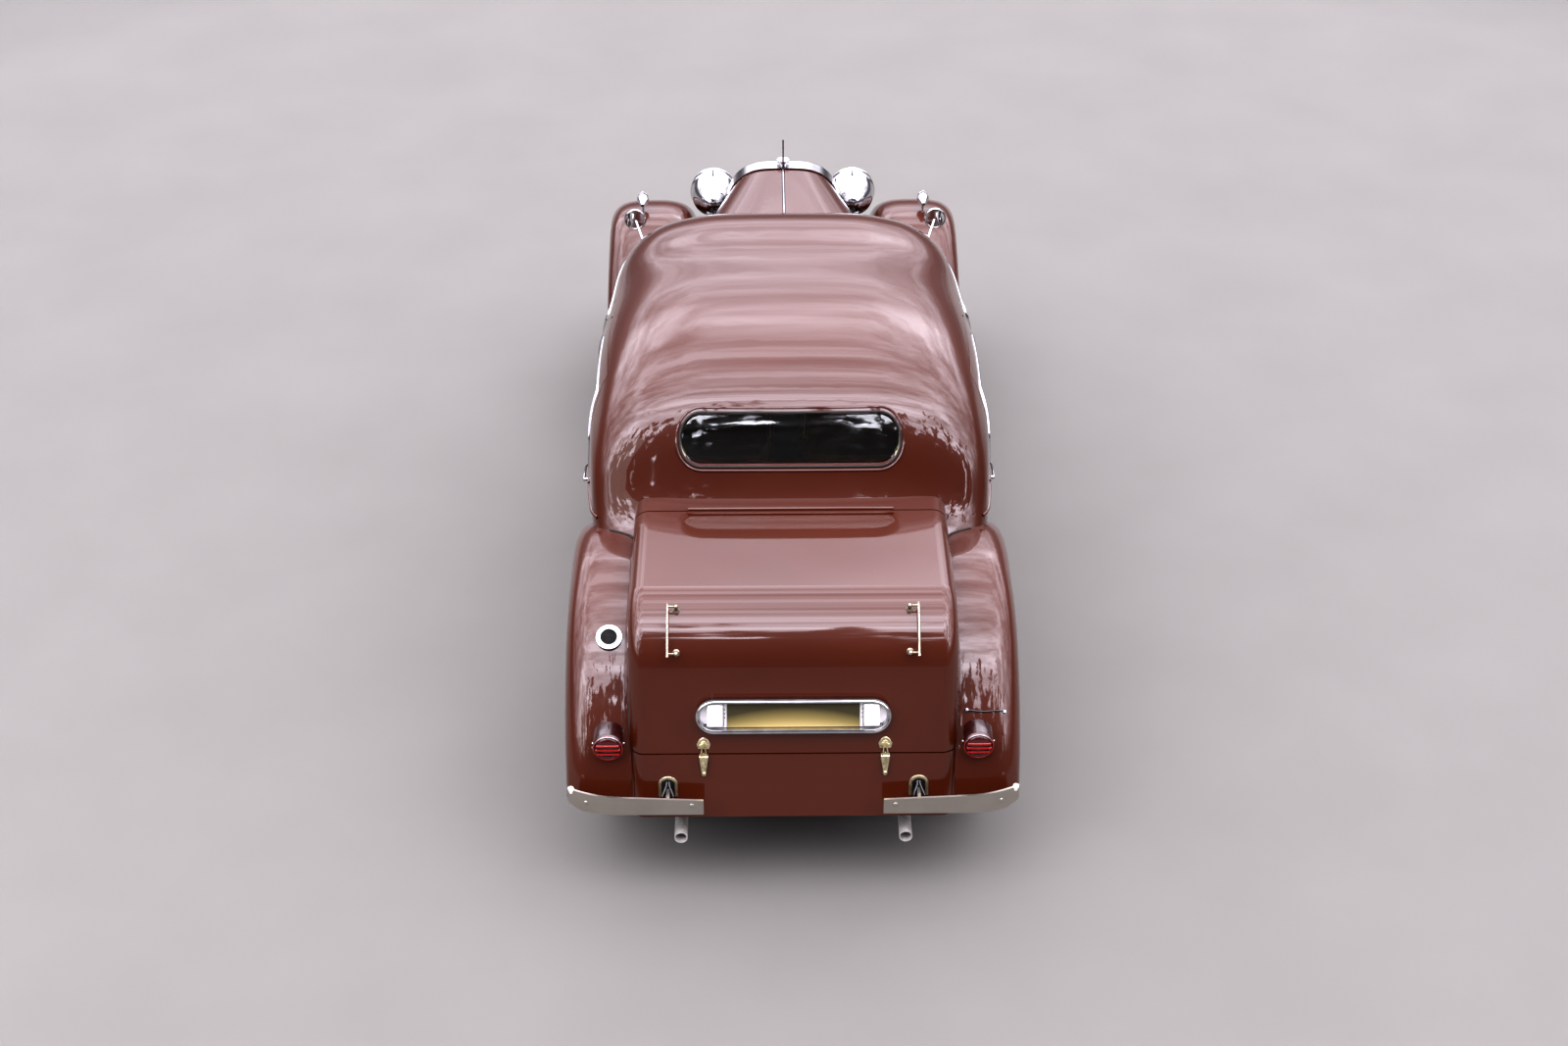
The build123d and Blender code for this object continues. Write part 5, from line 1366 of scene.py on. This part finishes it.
# ---------------------------------------------------------------- wheels
@dataclass
class Wheels:
    """Wire wheels with eared hub nuts, and block-tread tyres on well-base rims."""

    kit: Kit
    tyre_radius: float = 0.356
    rim_radius: float = 0.236
    well_radius: float = 0.2062
    spokes: int = 20
    steps: int = 150
    corners: tuple[str, ...] = ("front_left", "front_right", "rear_left", "rear_right")

    def tread(self, out: float) -> bpy.types.Mesh:
        """Turns the tyre's section round, with zig-zag grooves in the tread.

        Args:
            out: 1 where the outside of the wheel points to +Y, else -1.

        Returns:
            The mesh, about the origin.
        """
        top = self.tyre_radius - 0.0005
        half: list[Place] = [
            (0.231, 0.052, 0), (0.236, 0.060, 0), (0.246, 0.064, 0), (0.262, 0.069, 0), (0.285, 0.0735, 0),
            (0.303, 0.0742, 0), (0.3045, 0.0755, 0), (0.3075, 0.0755, 0), (0.309, 0.0738, 0), (0.325, 0.0705, 0),
            (0.338, 0.0655, 0), (top - 0.008, 0.0605, 0), (top - 0.0025, 0.055, 0),
        ]
        for outer, inner in ((0.042, 0.036), (0.022, 0.017)):
            half += [(top - 0.001, outer, 1), (top - 0.008, outer - 0.001, 1), (top - 0.008, inner + 0.001, 1),
                     (top - 0.0003, inner, 1)]
        half.append((top, 0.0, 0))
        section = half + [(r, -y, w) for r, y, w in reversed(half[:-1])]
        section += [(0.229, -0.046, 0), (0.229, 0.046, 0)]
        maker = Maker()
        rows = []
        for r, y, wave in section:
            ring = []
            for k in range(self.steps):
                a = 2 * math.pi * k / self.steps
                shift = 0.003 * wave * (1 if k % 4 < 2 else -1)
                ring.append(Vector((r * math.cos(a), (y + shift) * out, r * math.sin(a))))
            rows.append(ring)
        maker.rows(rows, loop=True)
        return maker.mesh("tyre", 30.0)

    def rim(self, out: float) -> Maker:
        """Turns the well-base rim and the hub's shell.

        Args:
            out: 1 or -1, as for the tread.

        Returns:
            The faces, about the origin.
        """
        maker = Maker()
        axis = Vector((0, out, 0))
        r = self.rim_radius
        maker.lathe([
            (r + 0.003, 0.064), (r + 0.003, 0.0665), (r - 0.001, 0.067), (r - 0.006, 0.0635), (0.2255, 0.052),
            (0.222, 0.03), (0.206, 0.02), (0.206, -0.02), (0.222, -0.03), (0.2255, -0.052), (r - 0.006, -0.0635),
            (r - 0.001, -0.067), (r + 0.003, -0.0665), (r + 0.003, -0.064), (0.2275, -0.051), (0.2275, -0.034),
            (0.2095, -0.021), (0.2095, 0.021), (0.2275, 0.034), (0.2275, 0.051),
        ], Vector(), axis, 96, closed=True)
        maker.lathe(mm((44, -36), (60.5, -33), (61.5, -30), (59, -27), (41, -22), (34, 0), (32, 28), (44.5, 38),
                       (45.5, 41), (43, 44), (33, 46), (31, 50), (0, 50)), Vector(), axis, 40)
        return maker

    def drum(self, out: float) -> Maker:
        """Turns the finned brake drum and its closed face.

        Args:
            out: 1 or -1, as for the tread.

        Returns:
            A maker that holds it, round the wheel's own middle.
        """
        maker = Maker()
        profile = mm((30, -20), (52, -16.5), (150, -16.5), (158, -19))
        for k in range(4):
            y = -0.022 - k * 0.007
            profile += [(0.165, y), (0.165, y - 0.0028), (0.160, y - 0.0034), (0.160, y - 0.0064)]
        profile += mm((165, -49.5), (155, -49.8), (150, -30), (30, -30))
        maker.lathe(profile, Vector(), Vector((0, out, 0)), 72, closed=True)
        return maker

    def nut(self, out: float) -> Maker:
        """Turns the domed, two-eared hub nut.

        Args:
            out: 1 or -1, as for the tread.

        Returns:
            A maker that holds it, round the wheel's own middle.
        """
        maker = Maker()
        axis = Vector((0, out, 0))
        maker.lathe(mm((0, 45), (36, 45), (37.5, 48), (37.5, 54), (34, 59), (27, 63), (22, 66), (14, 69.5),
                       (0, 71)), Vector(), axis, 40)
        for s in (-1, 1):
            ear = Facet(Vector((0, out * 0.052, 0)), Vector((s, 0, 0)), Vector((0, 0, -s * out)))
            shape = mm((18, -16), (34, -14.5), (52, -13.5), (61.5, -7), (64, 4), (59, 12.5), (48, 14.5), (34, 15.5),
                       (18, 16))
            way = ear.across.cross(ear.up)
            maker.slab(ear.loop(shape), way if way.y * out > 0 else -way, 0.010, 0.0035)
        return maker

    def spoke_pair(self, out: float, row: int) -> bpy.types.Mesh:
        """Two crossed spokes from hub flange to rim, with their nipples.

        Args:
            out: 1 or -1, as for the tread.
            row: 0 for the outer row, 1 and 2 for the two inner rows.

        Returns:
            The mesh, about the origin.
        """
        maker = Maker()
        hub_r, hub_y = (0.0425, 0.041) if row == 0 else (0.057, -0.0295)
        rim_y = (0.012, -0.004, -0.016)[row]
        lean = (0.42, 0.30, 0.62)[row]
        shift = (0.0, math.pi / self.spokes, 0.0)[row]
        for s in (-1, 1):
            a, b = shift, shift + s * lean
            # each spoke leaves the flange beside its neighbour and crosses it on the way
            b, a, r = b * 1.6, a + s * 0.02, self.well_radius
            start = Vector((hub_r * math.cos(b), (hub_y + s * 0.0016) * out, hub_r * math.sin(b)))
            end = Vector((r * math.cos(a), (rim_y + s * 0.003) * out, r * math.sin(a)))
            run = (end - start).normalized()
            maker.tube([start, end], 0.0021, 6)
            maker.tube([end - run * 0.016, end], 0.0036, 6)
        return maker.mesh(f"spokes_{row}")

    def build(self) -> None:
        """Dresses all four corners."""
        parts = {}
        for out in (1.0, -1.0):
            parts[out] = (
                self.tread(out), self.rim(out).mesh("rim", 40.0), self.drum(out).mesh("drum", 40.0),
                self.nut(out).mesh("nut", 30.0), [self.spoke_pair(out, row) for row in range(3)],
            )
        finish = self.kit.finishes
        for corner in self.corners:
            out = 1.0 if corner.endswith("left") else -1.0
            low, high = (Vector(c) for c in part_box(f"tyre_{corner}"))
            centre = (low + high) / 2
            body = f"wheel_{corner}"
            tyre, rim, drum, nut, spokes = parts[out]
            for data, name, dress, slot in (
                (tyre, "tyre", "tyre", "tyre_rubber"), (rim, "rim", "wheel", "wheel_metal"),
                (drum, "brake_drum", "drum", "black_paint"), (nut, "hub_nut", "chrome", "chrome"),
            ):
                copy = data.copy()
                copy.name = f"{name}_visual_{corner}"
                copy.transform(Matrix.Translation(centre))
                place(copy, finish[dress], body)
            laced = Maker()
            for pair in spokes:
                ring = self.kit.repeat(pair, self.spokes, finish["wheel"], turn=(0, 2 * math.pi / self.spokes, 0),
                                       shift=centre)
                start = len(laced.verts)
                laced.verts.extend(v.co.copy() for v in ring.vertices)
                laced.faces.extend(tuple(start + k for k in f.vertices) for f in ring.polygons)
            place(laced.mesh(f"spokes_{corner}", 50.0), finish["wheel"], body)
            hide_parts(f"tyre_{corner}")
            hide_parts(f"wheel_{corner}")


# ---------------------------------------------------------------- cabin
@dataclass
class Pad:
    """One sprung leather pad: its block, how it leans, and its pleats."""

    name: str
    low: Place
    high: Place
    lean: float = 0.0  # metres that the top stands behind the foot
    pleats: int = 6
    upright: bool = False


@dataclass
class Seats:
    """Pleated leather seats: two front chairs and a rear bench, inflated as cloth."""

    kit: Kit
    inset: float = 0.014  # the block is this much small, and may swell as far
    rounding: float = 0.034
    voxel: float = 0.006
    rough_voxel: float = 0.012
    pressure: float = 4.0
    stiffness: float = 12.0
    frames: int = 20
    border: float = 0.05  # from the pad's side to its first pleat
    sewn: float = 0.06  # from its other edges to the pleats' ends, and how deep the sewing reaches
    pleat_depth: float = 0.012
    seam_depth: float = 0.009
    cord: float = 0.0042
    cord_in: Pair = (0.022, 0.016)  # the piping's way in from the sides and from the top
    fill: float = 0.8
    right_shift: float = -0.6
    pads: tuple[Pad, ...] = (
        Pad("front_cushion", (-0.255, 0.055, 0.5225), (0.160, 0.545, 0.786), pleats=6),
        Pad("front_squab", (-0.2275, 0.060, 0.6225), (-0.1325, 0.540, 1.176), lean=0.1, pleats=6, upright=True),
        Pad("rear_cushion", (-1.115, -0.540, 0.5225), (-0.645, 0.540, 0.816), pleats=14),
        Pad("rear_squab", (-1.1475, -0.540, 0.6225), (-1.0325, 0.540, 1.096), lean=0.06, pleats=14, upright=True),
    )

    def block(self, pad: Pad) -> bpy.types.Mesh:
        """A pad's slightly small block with rounded edges, ready to swell.

        Args:
            pad: the pad.

        Returns:
            The mesh.
        """
        skin = bmesh.new()
        bmesh.ops.create_cube(skin, size=1.0)
        low, high = Vector(pad.low), Vector(pad.high)
        size, middle = high - low, (high + low) / 2
        for v in skin.verts:
            v.co = Vector([c * (full - 2 * self.inset) for c, full in zip(v.co, size)]) + middle
            v.co.x -= pad.lean * (v.co.z - low.z) / size.z
        bmesh.ops.bevel(skin, geom=skin.edges[:], offset=self.rounding, segments=4, profile=0.6, affect="EDGES")
        data = bpy.data.meshes.new(pad.name)
        skin.to_mesh(data)
        skin.free()
        return data

    def inflate(self, pad: Pad) -> bpy.types.Mesh:
        """Swells a pad as cloth and keeps it inside its block.

        Args:
            pad: the pad.

        Returns:
            The mesh.
        """
        scene = bpy.context.scene
        holder = bpy.data.objects.new(pad.name, self.block(pad))
        scene.collection.objects.link(holder)
        remesh = holder.modifiers.new("remesh", "REMESH")
        remesh.mode = "VOXEL"
        remesh.voxel_size = self.voxel * (1.7 if pad.pleats > 8 else 1.3)
        even = settled(holder)
        holder.data = even
        rest = [v.co.copy() for v in even.vertices]
        cloth = holder.modifiers.new("cloth", "CLOTH")
        cloth.settings.use_pressure = True
        cloth.settings.uniform_pressure_force = self.pressure
        cloth.settings.effector_weights.gravity = 0.0
        cloth.settings.quality = 4
        cloth.settings.tension_stiffness = cloth.settings.compression_stiffness = self.stiffness
        for frame in range(1, self.frames + 1):
            scene.frame_set(frame)
        even = settled(holder)
        scene.frame_set(1)
        for v, start in zip(even.vertices, rest):
            step = v.co - start
            v.co = start + step * min(1.0, self.inset / max(step.length, 1e-9))
        bpy.data.objects.remove(holder)
        return even

    def sew(self, data: bpy.types.Mesh, pad: Pad) -> None:
        """Presses pleats and the border seam into the sitting face.

        Args:
            data: the pad's mesh.
            pad: the pad.
        """
        low, high = Vector(pad.low), Vector(pad.high)
        edge, sewn = self.border, self.sewn
        wide = high.y - low.y - 2 * edge
        pitch = wide / pad.pleats
        for v in data.vertices:
            lean = pad.lean * (v.co.z - low.z) / (high.z - low.z)
            depth = (v.co.x + lean) if pad.upright else v.co.z
            top = high.x if pad.upright else high.z
            along = v.co.z if pad.upright else v.co.x
            start, end = (low.z + sewn, high.z - sewn) if pad.upright else (low.x + sewn, high.x - sewn)
            from_top = top - depth
            if from_top > sewn:
                continue
            across = v.co.y - (low.y + edge)
            inside = min(across, wide - across, along - start, end - along)
            facing = max(0.0, 1.0 - from_top / sewn)
            ease = max(0.0, min(1.0, inside / 0.02))
            pleat = abs(math.sin(math.pi * across / pitch)) ** 0.5
            press = (1.0 - pleat) * self.pleat_depth * ease + self.seam_depth * math.exp(-(inside / 0.006) ** 2)
            if pad.upright:
                v.co.x -= press * facing
            else:
                v.co.z -= press * facing

    def piped(self, pad: Pad, shift: float) -> Maker:
        """Piping round the sitting face's edge.

        Args:
            pad: the pad.
            shift: how far to the side the pad is moved.

        Returns:
            The faces.
        """
        low, high = Vector(pad.low), Vector(pad.high)
        side, top = self.cord_in
        maker = Maker()
        if pad.upright:
            shape = rounded(oblong(low.y + side, low.z + 0.03, high.y - side, high.z - side), self.border, 5)
            line = [(high.x - top - pad.lean * (z - low.z) / (high.z - low.z), y + shift, z) for y, z in shape]
        else:
            shape = rounded(oblong(low.x + side, low.y + side, high.x - side, high.y - side), self.border, 5)
            line = [(x, y + shift, high.z - top) for x, y in shape]
        maker.tube(line, self.cord, 8, closed=True)
        return maker

    def build(self) -> None:
        """Makes six pads and their piping."""
        finish, first = self.kit.finishes["leather"], None
        for pad in self.pads:
            data = self.inflate(pad)
            self.sew(data, pad)
            pair = ((0.0, "left"), (self.right_shift, "right"))
            shifts = pair if pad.name.startswith("front") else ((0.0, ""),)
            for shift, side in shifts:
                copy = data.copy()
                copy.name = f"{pad.name}_{side}" if side else pad.name
                copy.transform(Matrix.Translation((0, shift, 0)))
                copy.polygons.foreach_set("use_smooth", [True] * len(copy.polygons))
                piece = place(copy, finish, "car_body")
                smooth = piece.modifiers.new("smooth", "SUBSURF")
                smooth.levels = smooth.render_levels = 1
                first = first or piece
                self.kit.put(self.piped(pad, shift), f"{copy.name}_piping", "leather", "tan_leather")
        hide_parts("seats")


@dataclass
class Facia:
    """Two large dials and three small ones on the facia."""

    kit: Kit
    dials: tuple[Place, ...] = (
        (-0.14, 0.985, 0.052), (0.02, 0.985, 0.052), (0.17, 1.005, 0.030), (0.17, 0.935, 0.030), (0.27, 0.97, 0.030),
    )  # each one's side, height and radius
    marks: int = 11
    hand_turn: float = 2.4

    def build(self) -> None:
        """Makes the dials' faces, bezels, marks and hands."""
        skin = self.kit.skin("facia_and_column")
        face, rim, hands = Maker(), Maker(), Maker()
        for y, z, r in self.dials:
            met = skin.hit((0.1, y, z), X)
            if not met or met[0].x > 0.8:
                continue
            p, out, _ = met
            face.lathe([(0.0, 0.0), (r * 0.93, 0.0), (r * 0.93, 0.0022), (0.0, 0.0024)], p, out, 40)
            rim.lathe([(r * 0.9, -0.001), (r, -0.001), (r, 0.003), (r * 0.95, 0.0062), (r * 0.9, 0.0035)], p, out, 40,
                      closed=True)
            u = out.cross(Z).normalized()
            v = u.cross(out)
            level = p + out * 0.0028
            for k in range(self.marks):
                a = math.radians(225 - 27 * k)
                way = u * math.cos(a) + v * math.sin(a)
                hands.tube([level + way * r * 0.72, level + way * r * 0.84], 0.0011, 4)
            way = u * math.cos(self.hand_turn) + v * math.sin(self.hand_turn)
            level = p + out * 0.0034
            hands.tube([level - way * r * 0.15, level + way * r * 0.66], [0.0016, 0.0006], 6)
            hands.lathe([(0.0, 0.002), (r * 0.1, 0.002), (r * 0.08, 0.0048), (0.0, 0.005)], p, out, 16)
        self.kit.put(face, "dial_faces", "bakelite", "black_rim")
        self.kit.put(rim, "dial_bezels", "chrome", "chrome")
        self.kit.put(hands, "dial_hands", "ivory", "black_rim")


# ---------------------------------------------------------------- studio
@dataclass
class Studio:
    """Camera high behind the tail, pale floor, and one broad soft bank of light ahead and above."""

    camera_place: Place = (-8.98, 0.105, 6.07)
    pitch: float = 33.2
    yaw: float = -0.59
    lens: float = 53.55
    tint: str = "#f5f2fd"
    strength: float = 10.2
    bank: Stops = (
        (0.0, 0.9), (0.3, 1.0), (0.4, 0.85), (0.5, 0.62), (0.62, 0.6), (0.75, 0.48), (0.86, 0.38), (0.885, 0.6),
        (0.9, 0.55), (0.92, 0.25), (0.96, 0.34), (1.0, 0.12),
    )  # brightness from behind to ahead
    rear_edge: Stops = ((0.1, 0.02), (0.17, 0.05), (0.21, 1.0))
    horizon: Stops = ((0.1, 0.0), (0.18, 0.12), (0.3, 1.0))
    width: Stops = ((0.55, 1.0), (0.9, 0.35))
    cloud: Stops = ((0.36, 0.38), (0.5, 0.68), (0.62, 1.0))
    teeth: Place = (7.0, 24.0, 7.0)
    streaks: Place = (7.0, 1.1, 7.0)
    tooth: float = 0.8  # how far the rear edge's teeth reach
    backdrop: str = "#222123"
    lamp_place: Place = (-6.0, 5.0, 4.0)
    lamp_size: float = 4.0
    lamp_power: float = 60.0
    floor_half: float = 40.0
    floor_near: tuple[str, str] = ("#62605c", "#5f5d59")
    floor_far: str = "#201f1f"
    floor_fade: Pair = (8.0, 16.0)

    def camera(self) -> None:
        """Stands the camera."""
        data = bpy.data.cameras.new("camera")
        data.lens, data.sensor_width, data.clip_end = self.lens, 36.0, 200.0
        cam = bpy.data.objects.new("camera", data)
        bpy.context.scene.collection.objects.link(cam)
        p, y = math.radians(self.pitch), math.radians(self.yaw)
        look = Vector((math.cos(y) * math.cos(p), math.sin(y) * math.cos(p), -math.sin(p)))
        cam.rotation_euler = look.to_track_quat("-Z", "Y").to_euler()
        cam.location = self.camera_place
        bpy.context.scene.camera = cam

    def dome(self) -> None:
        """Makes the world: a bright bank overhead and ahead, a ragged dark edge behind, plain and dim low down."""
        t = Tree("dome", world=True)
        teeth = t.add("Mapping", Vector=t.place, Scale=self.teeth)
        ragged = t.add("TexNoise", Vector=teeth.outputs[0], Scale=1.0, Detail=7.0, Roughness=0.6)
        streaks = t.add("Mapping", Vector=t.place, Scale=self.streaks)
        cloud = t.add("TexNoise", Vector=streaks.outputs[0], Scale=1.0, Detail=5.0, Roughness=0.6)
        way = t.add("SeparateXYZ", Vector=t.place)
        edge = t.add("Math", {"operation": "MULTIPLY_ADD"}, i0=ragged.outputs["Fac"], i1=self.tooth, i2=-self.tooth / 2)
        ahead = t.add("Math", {"operation": "MULTIPLY_ADD"}, i0=way.outputs["X"], i1=0.5, i2=0.5)
        torn = t.add("Math", {"operation": "ADD"}, i0=ahead.outputs[0], i1=edge.outputs[0])
        rear = t.ramp(torn.outputs[0], *self.rear_edge)
        horizon = t.ramp(way.outputs["Z"], *self.horizon)
        wide = t.add("Math", {"operation": "ABSOLUTE"}, i0=way.outputs["Y"])
        width = t.ramp(wide.outputs[0], *self.width)
        light = t.ramp(cloud.outputs["Fac"], *self.cloud)
        total = t.ramp(ahead.outputs[0], *self.bank)
        for part in (rear, width, light, linear(self.tint)):
            total = t.add("Mix", {"data_type": "RGBA", "blend_type": "MULTIPLY"}, i0=1.0, i6=total, i7=part).outputs[2]
        total = t.mix(horizon, linear(self.backdrop), total)
        bpy.context.scene.world = t.finish(t.add("Background", Color=total, Strength=self.strength))

    def lamp(self) -> None:
        """Hangs one soft lamp that looks at the car's middle."""
        data = bpy.data.lights.new("fill", "AREA")
        data.size, data.energy = self.lamp_size, self.lamp_power
        lamp = bpy.data.objects.new("fill", data)
        bpy.context.scene.collection.objects.link(lamp)
        lamp.location = self.lamp_place
        lamp.rotation_euler = (Z * 0.8 - Vector(self.lamp_place)).to_track_quat("-Z", "Y").to_euler()

    def floor(self) -> None:
        """Lays the floor, pale round the car and dimmer far from it, so that steep panels mirror no bright line."""
        t = Tree("pale_floor")
        spots = t.add("TexNoise", Vector=t.place, Scale=grains(700.0), Detail=4.0)
        far = t.add("VectorMath", {"operation": "LENGTH"}, i0=t.place).outputs["Value"]
        start, end = self.floor_fade
        fade = t.add("MapRange", Value=far, From_Min=start, From_Max=end).outputs[0]
        near = t.ramp(spots.outputs["Fac"], *zip((0.3, 0.7), self.floor_near))
        colour = t.mix(fade, near, linear(self.floor_far))
        data, r = bpy.data.meshes.new("floor"), self.floor_half
        data.from_pydata([(x, y, 0) for x, y in oblong(-r, -r, r, r)], [], [(0, 1, 2, 3)])
        data.materials.append(t.finish(t.add("BsdfPrincipled", Base_Color=colour, Roughness=0.8)))
        floor = bpy.data.objects.new("floor", data)
        bpy.context.scene.collection.objects.link(floor)

    def build(self) -> None:
        """Sets up everything that isn't the car."""
        self.camera()
        self.dome()
        self.lamp()
        self.floor()
        view = bpy.context.scene.view_settings
        view.view_transform, view.look = "Standard", "High Contrast"


# ---------------------------------------------------------------- whole car
class Slot(Enum):
    """The record's material slots."""

    PAINT = "coachwork_paint"
    GLASS = "glass"
    CHROME = "chrome"
    ALLOY = "satin_aluminium"
    BLACK = "black_paint"
    SPRING = "spring_steel"
    IRON = "cast_iron"
    EXHAUST = "exhaust_steel"
    RED = "tail_lamp_red"
    MAT = "board_rubber"
    WALNUT = "walnut"
    RIM = "black_rim"
    LEATHER = "tan_leather"
    WHEEL = "wheel_metal"
    TYRE = "tyre_rubber"


def slot_finishes() -> dict[str, bpy.types.Material]:
    """One finish for each slot, made once.

    Returns:
        Materials by slot name.
    """
    return {
        # sprayed cellulose over a dark ground: deep brown with mirror gloss
        Slot.PAINT.value: CoachPaint().build(),
        # float glass: clear, faintly green, with a film that shows at a slant
        Slot.GLASS.value: Glass("window_glass", "#cfd8d4").build(),
        # bright plating, buffed: sharp mirror with slight haze
        Slot.CHROME.value: Metal("chrome_plate", "#c2c2c4", "#adacae", (0.06, 0.14)).build(),
        # spring steel under satin chrome: broad soft sheen
        Slot.ALLOY.value: Metal("satin_chromed_spring_steel", "#b8b3ab", "#aea9a1", (0.3, 0.38), spot=200.0).build(),
        # stoved enamel on the frame: black, half gloss
        Slot.BLACK.value: Enamel("stoved_black_enamel", "#0e0e0f", "#1c1a18", 0.32, coat=0.4).build(),
        # rolled steel, oiled: dark with dull streaks
        Slot.SPRING.value: Metal("oiled_spring_steel", "#3c3a38", "#262422", (0.35, 0.55)).build(),
        # sand-cast iron: grey and grainy
        Slot.IRON.value: Metal("cast_iron", "#4a4846", "#35322f", (0.5, 0.7), spot=8.0, relief=0.2).build(),
        # hot-dipped aluminium coat: pale matt grey
        Slot.EXHAUST.value: Enamel("aluminised_exhaust_steel", "#a3a09b", "#86827b", 0.45, spot=25.0).build(),
        # lamp bodies' stoved enamel: nearly black maroon, glossy
        Slot.RED.value: Enamel("maroon_lamp_enamel", "#220606", "#2a0908", 0.22, coat=0.6).build(),
        # moulded rubber, walked on: dusty matt black
        Slot.MAT.value: Enamel("ribbed_board_rubber", "#161616", "#2a2826", 0.7, spot=12.0, relief=0.2).build(),
        Slot.WALNUT.value: Walnut().build(),
        # pressed phenolic: polished black
        Slot.RIM.value: Enamel("black_bakelite", "#0b0b0b", "#141312", 0.2, coat=0.5).build(),
        Slot.LEATHER.value: Leather().build(),
        # silver-stoved wire wheel: bright satin
        Slot.WHEEL.value: Metal("silver_stoved_wheel", "#a9a9aa", "#959596", (0.28, 0.42)).build(),
        # carbon-black tyre: matt, dusty, softly pitted
        Slot.TYRE.value: Enamel("tyre_rubber", "#1a1a1a", "#2c2a28", 0.75, spot=9.0, relief=0.25).build(),
    }


# short names of finishes that fittings share with their slot
SHARED = {"paint": "coachwork_paint", "chrome": "chrome", "black": "black_paint", "rubber": "board_rubber",
          "leather": "tan_leather", "wheel": "wheel_metal", "tyre": "tyre_rubber", "bakelite": "black_rim",
          "satin": "satin_aluminium"}


def extra_finishes() -> dict[str, bpy.types.Material]:
    """Finishes of fittings that have no slot of their own.

    Returns:
        Materials by short name.
    """
    return {
        # nickel gone warm with age: soft yellowish mirror
        "nickel": Metal("aged_nickel_plate", "#b9b09e", "#8f8673", (0.2, 0.34), spot=20.0).build(),
        # brass worn pale: creamy sheen with dull spots
        "pale_brass": Metal("pale_brass", "#e2d9ba", "#b3a783", (0.25, 0.42), spot=14.0).build(),
        # aluminium paint under varnish: light even grey
        "silver_paint": Enamel("silvered_plate", "#cfcccc", "#c2bfbf", 0.3, spot=40.0, coat=0.3).build(),
        # milky lamp glass: white and glossy
        "opal": Enamel("opal_lamp_glass", "#f3f1ee", "#e6e3df", 0.2, coat=0.6).build(),
        "plate": PlateEnamel().build(),
        # pressed ruby glass: dark red with fine ribs
        "red_glass": Glass("ruby_lamp_glass", "#4a0505", 0.05, ribs=9.0, clear=0.35, glow=0.02).build(),
        # the same glass on edge, with painted light: brighter red lines
        "red_bar": Enamel("lit_ruby_bar", "#7c1713", "#671210", 0.3, coat=0.3).build(),
        # pressed clear glass: sparkling ribs
        "lamp_glass": Glass("ribbed_lamp_glass", "#f2f5f4", 0.02, ribs=12.0).build(),
        # silvered glass: a clean mirror
        "mirror": Metal("silvered_mirror", "#e6e8ea", "#dfe1e3", (0.01, 0.03)).build(),
        # cast iron seen behind the spokes: dark and rough
        "drum": Metal("cast_brake_drum", "#4c4a48", "#353331", (0.4, 0.6), spot=10.0, relief=0.1).build(),
        # stoved plate: plain black with some gloss
        "front_plate": Enamel("front_plate_enamel", "#101010", "#1d1c1a", 0.3, coat=0.3).build(),
        # cast resin: warm white
        "ivory": Enamel("ivory_knob", "#ece7da", "#d8d2c2", 0.3).build(),
        # painted shade for the filler's open neck: black, no shine at all
        "pitch_dark": Enamel("painted_shade_throat", "#010101", "#020202", 0.95).build(),
    }


def corners(box: Sequence[Sequence[float]]) -> list[list[float]]:
    """A box's two corners as plain lists of numbers."""
    return [[float(c) for c in corner] for corner in box]


def main() -> None:
    """Builds the car's looks in order."""
    logging.basicConfig(level=logging.INFO, format="%(name)s %(message)s")
    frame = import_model()
    Studio().build()
    finishes = slot_finishes()
    lined = CoachPaint(name="coachwork_paint_with_trim", lined=True).build()
    for row in frame["record"]["subparts"]:
        node = frame["nodes"][row["node"]]
        node.data.materials.clear()
        node.data.materials.append(finishes[row["material_slot"]])
    frame["nodes"]["floor_pan"].data.materials[0] = Enamel(
        "brown_wool_carpet", "#2e2018", "#3b2a20", 0.95, spot=5.0, relief=0.4, sheen=0.4
    ).build()
    for name in ("body_shell", "front_door_left", "front_door_right", "rear_door_left", "rear_door_right", "scuttle"):
        frame["nodes"][name].data.materials[0] = lined
    extra = extra_finishes()
    kit = Kit({**extra, **{key: finishes[slot] for key, slot in SHARED.items()}}, frame["nodes"], Repeat())
    for part in (BootFurniture(kit), PlateBox(kit), RearLights(kit), TailTrim(kit), FrontDetail(kit),
                 SideDetail(kit), Wheels(kit), Seats(kit), Facia(kit)):
        part.build()


if __name__ == "__main__":
    main()
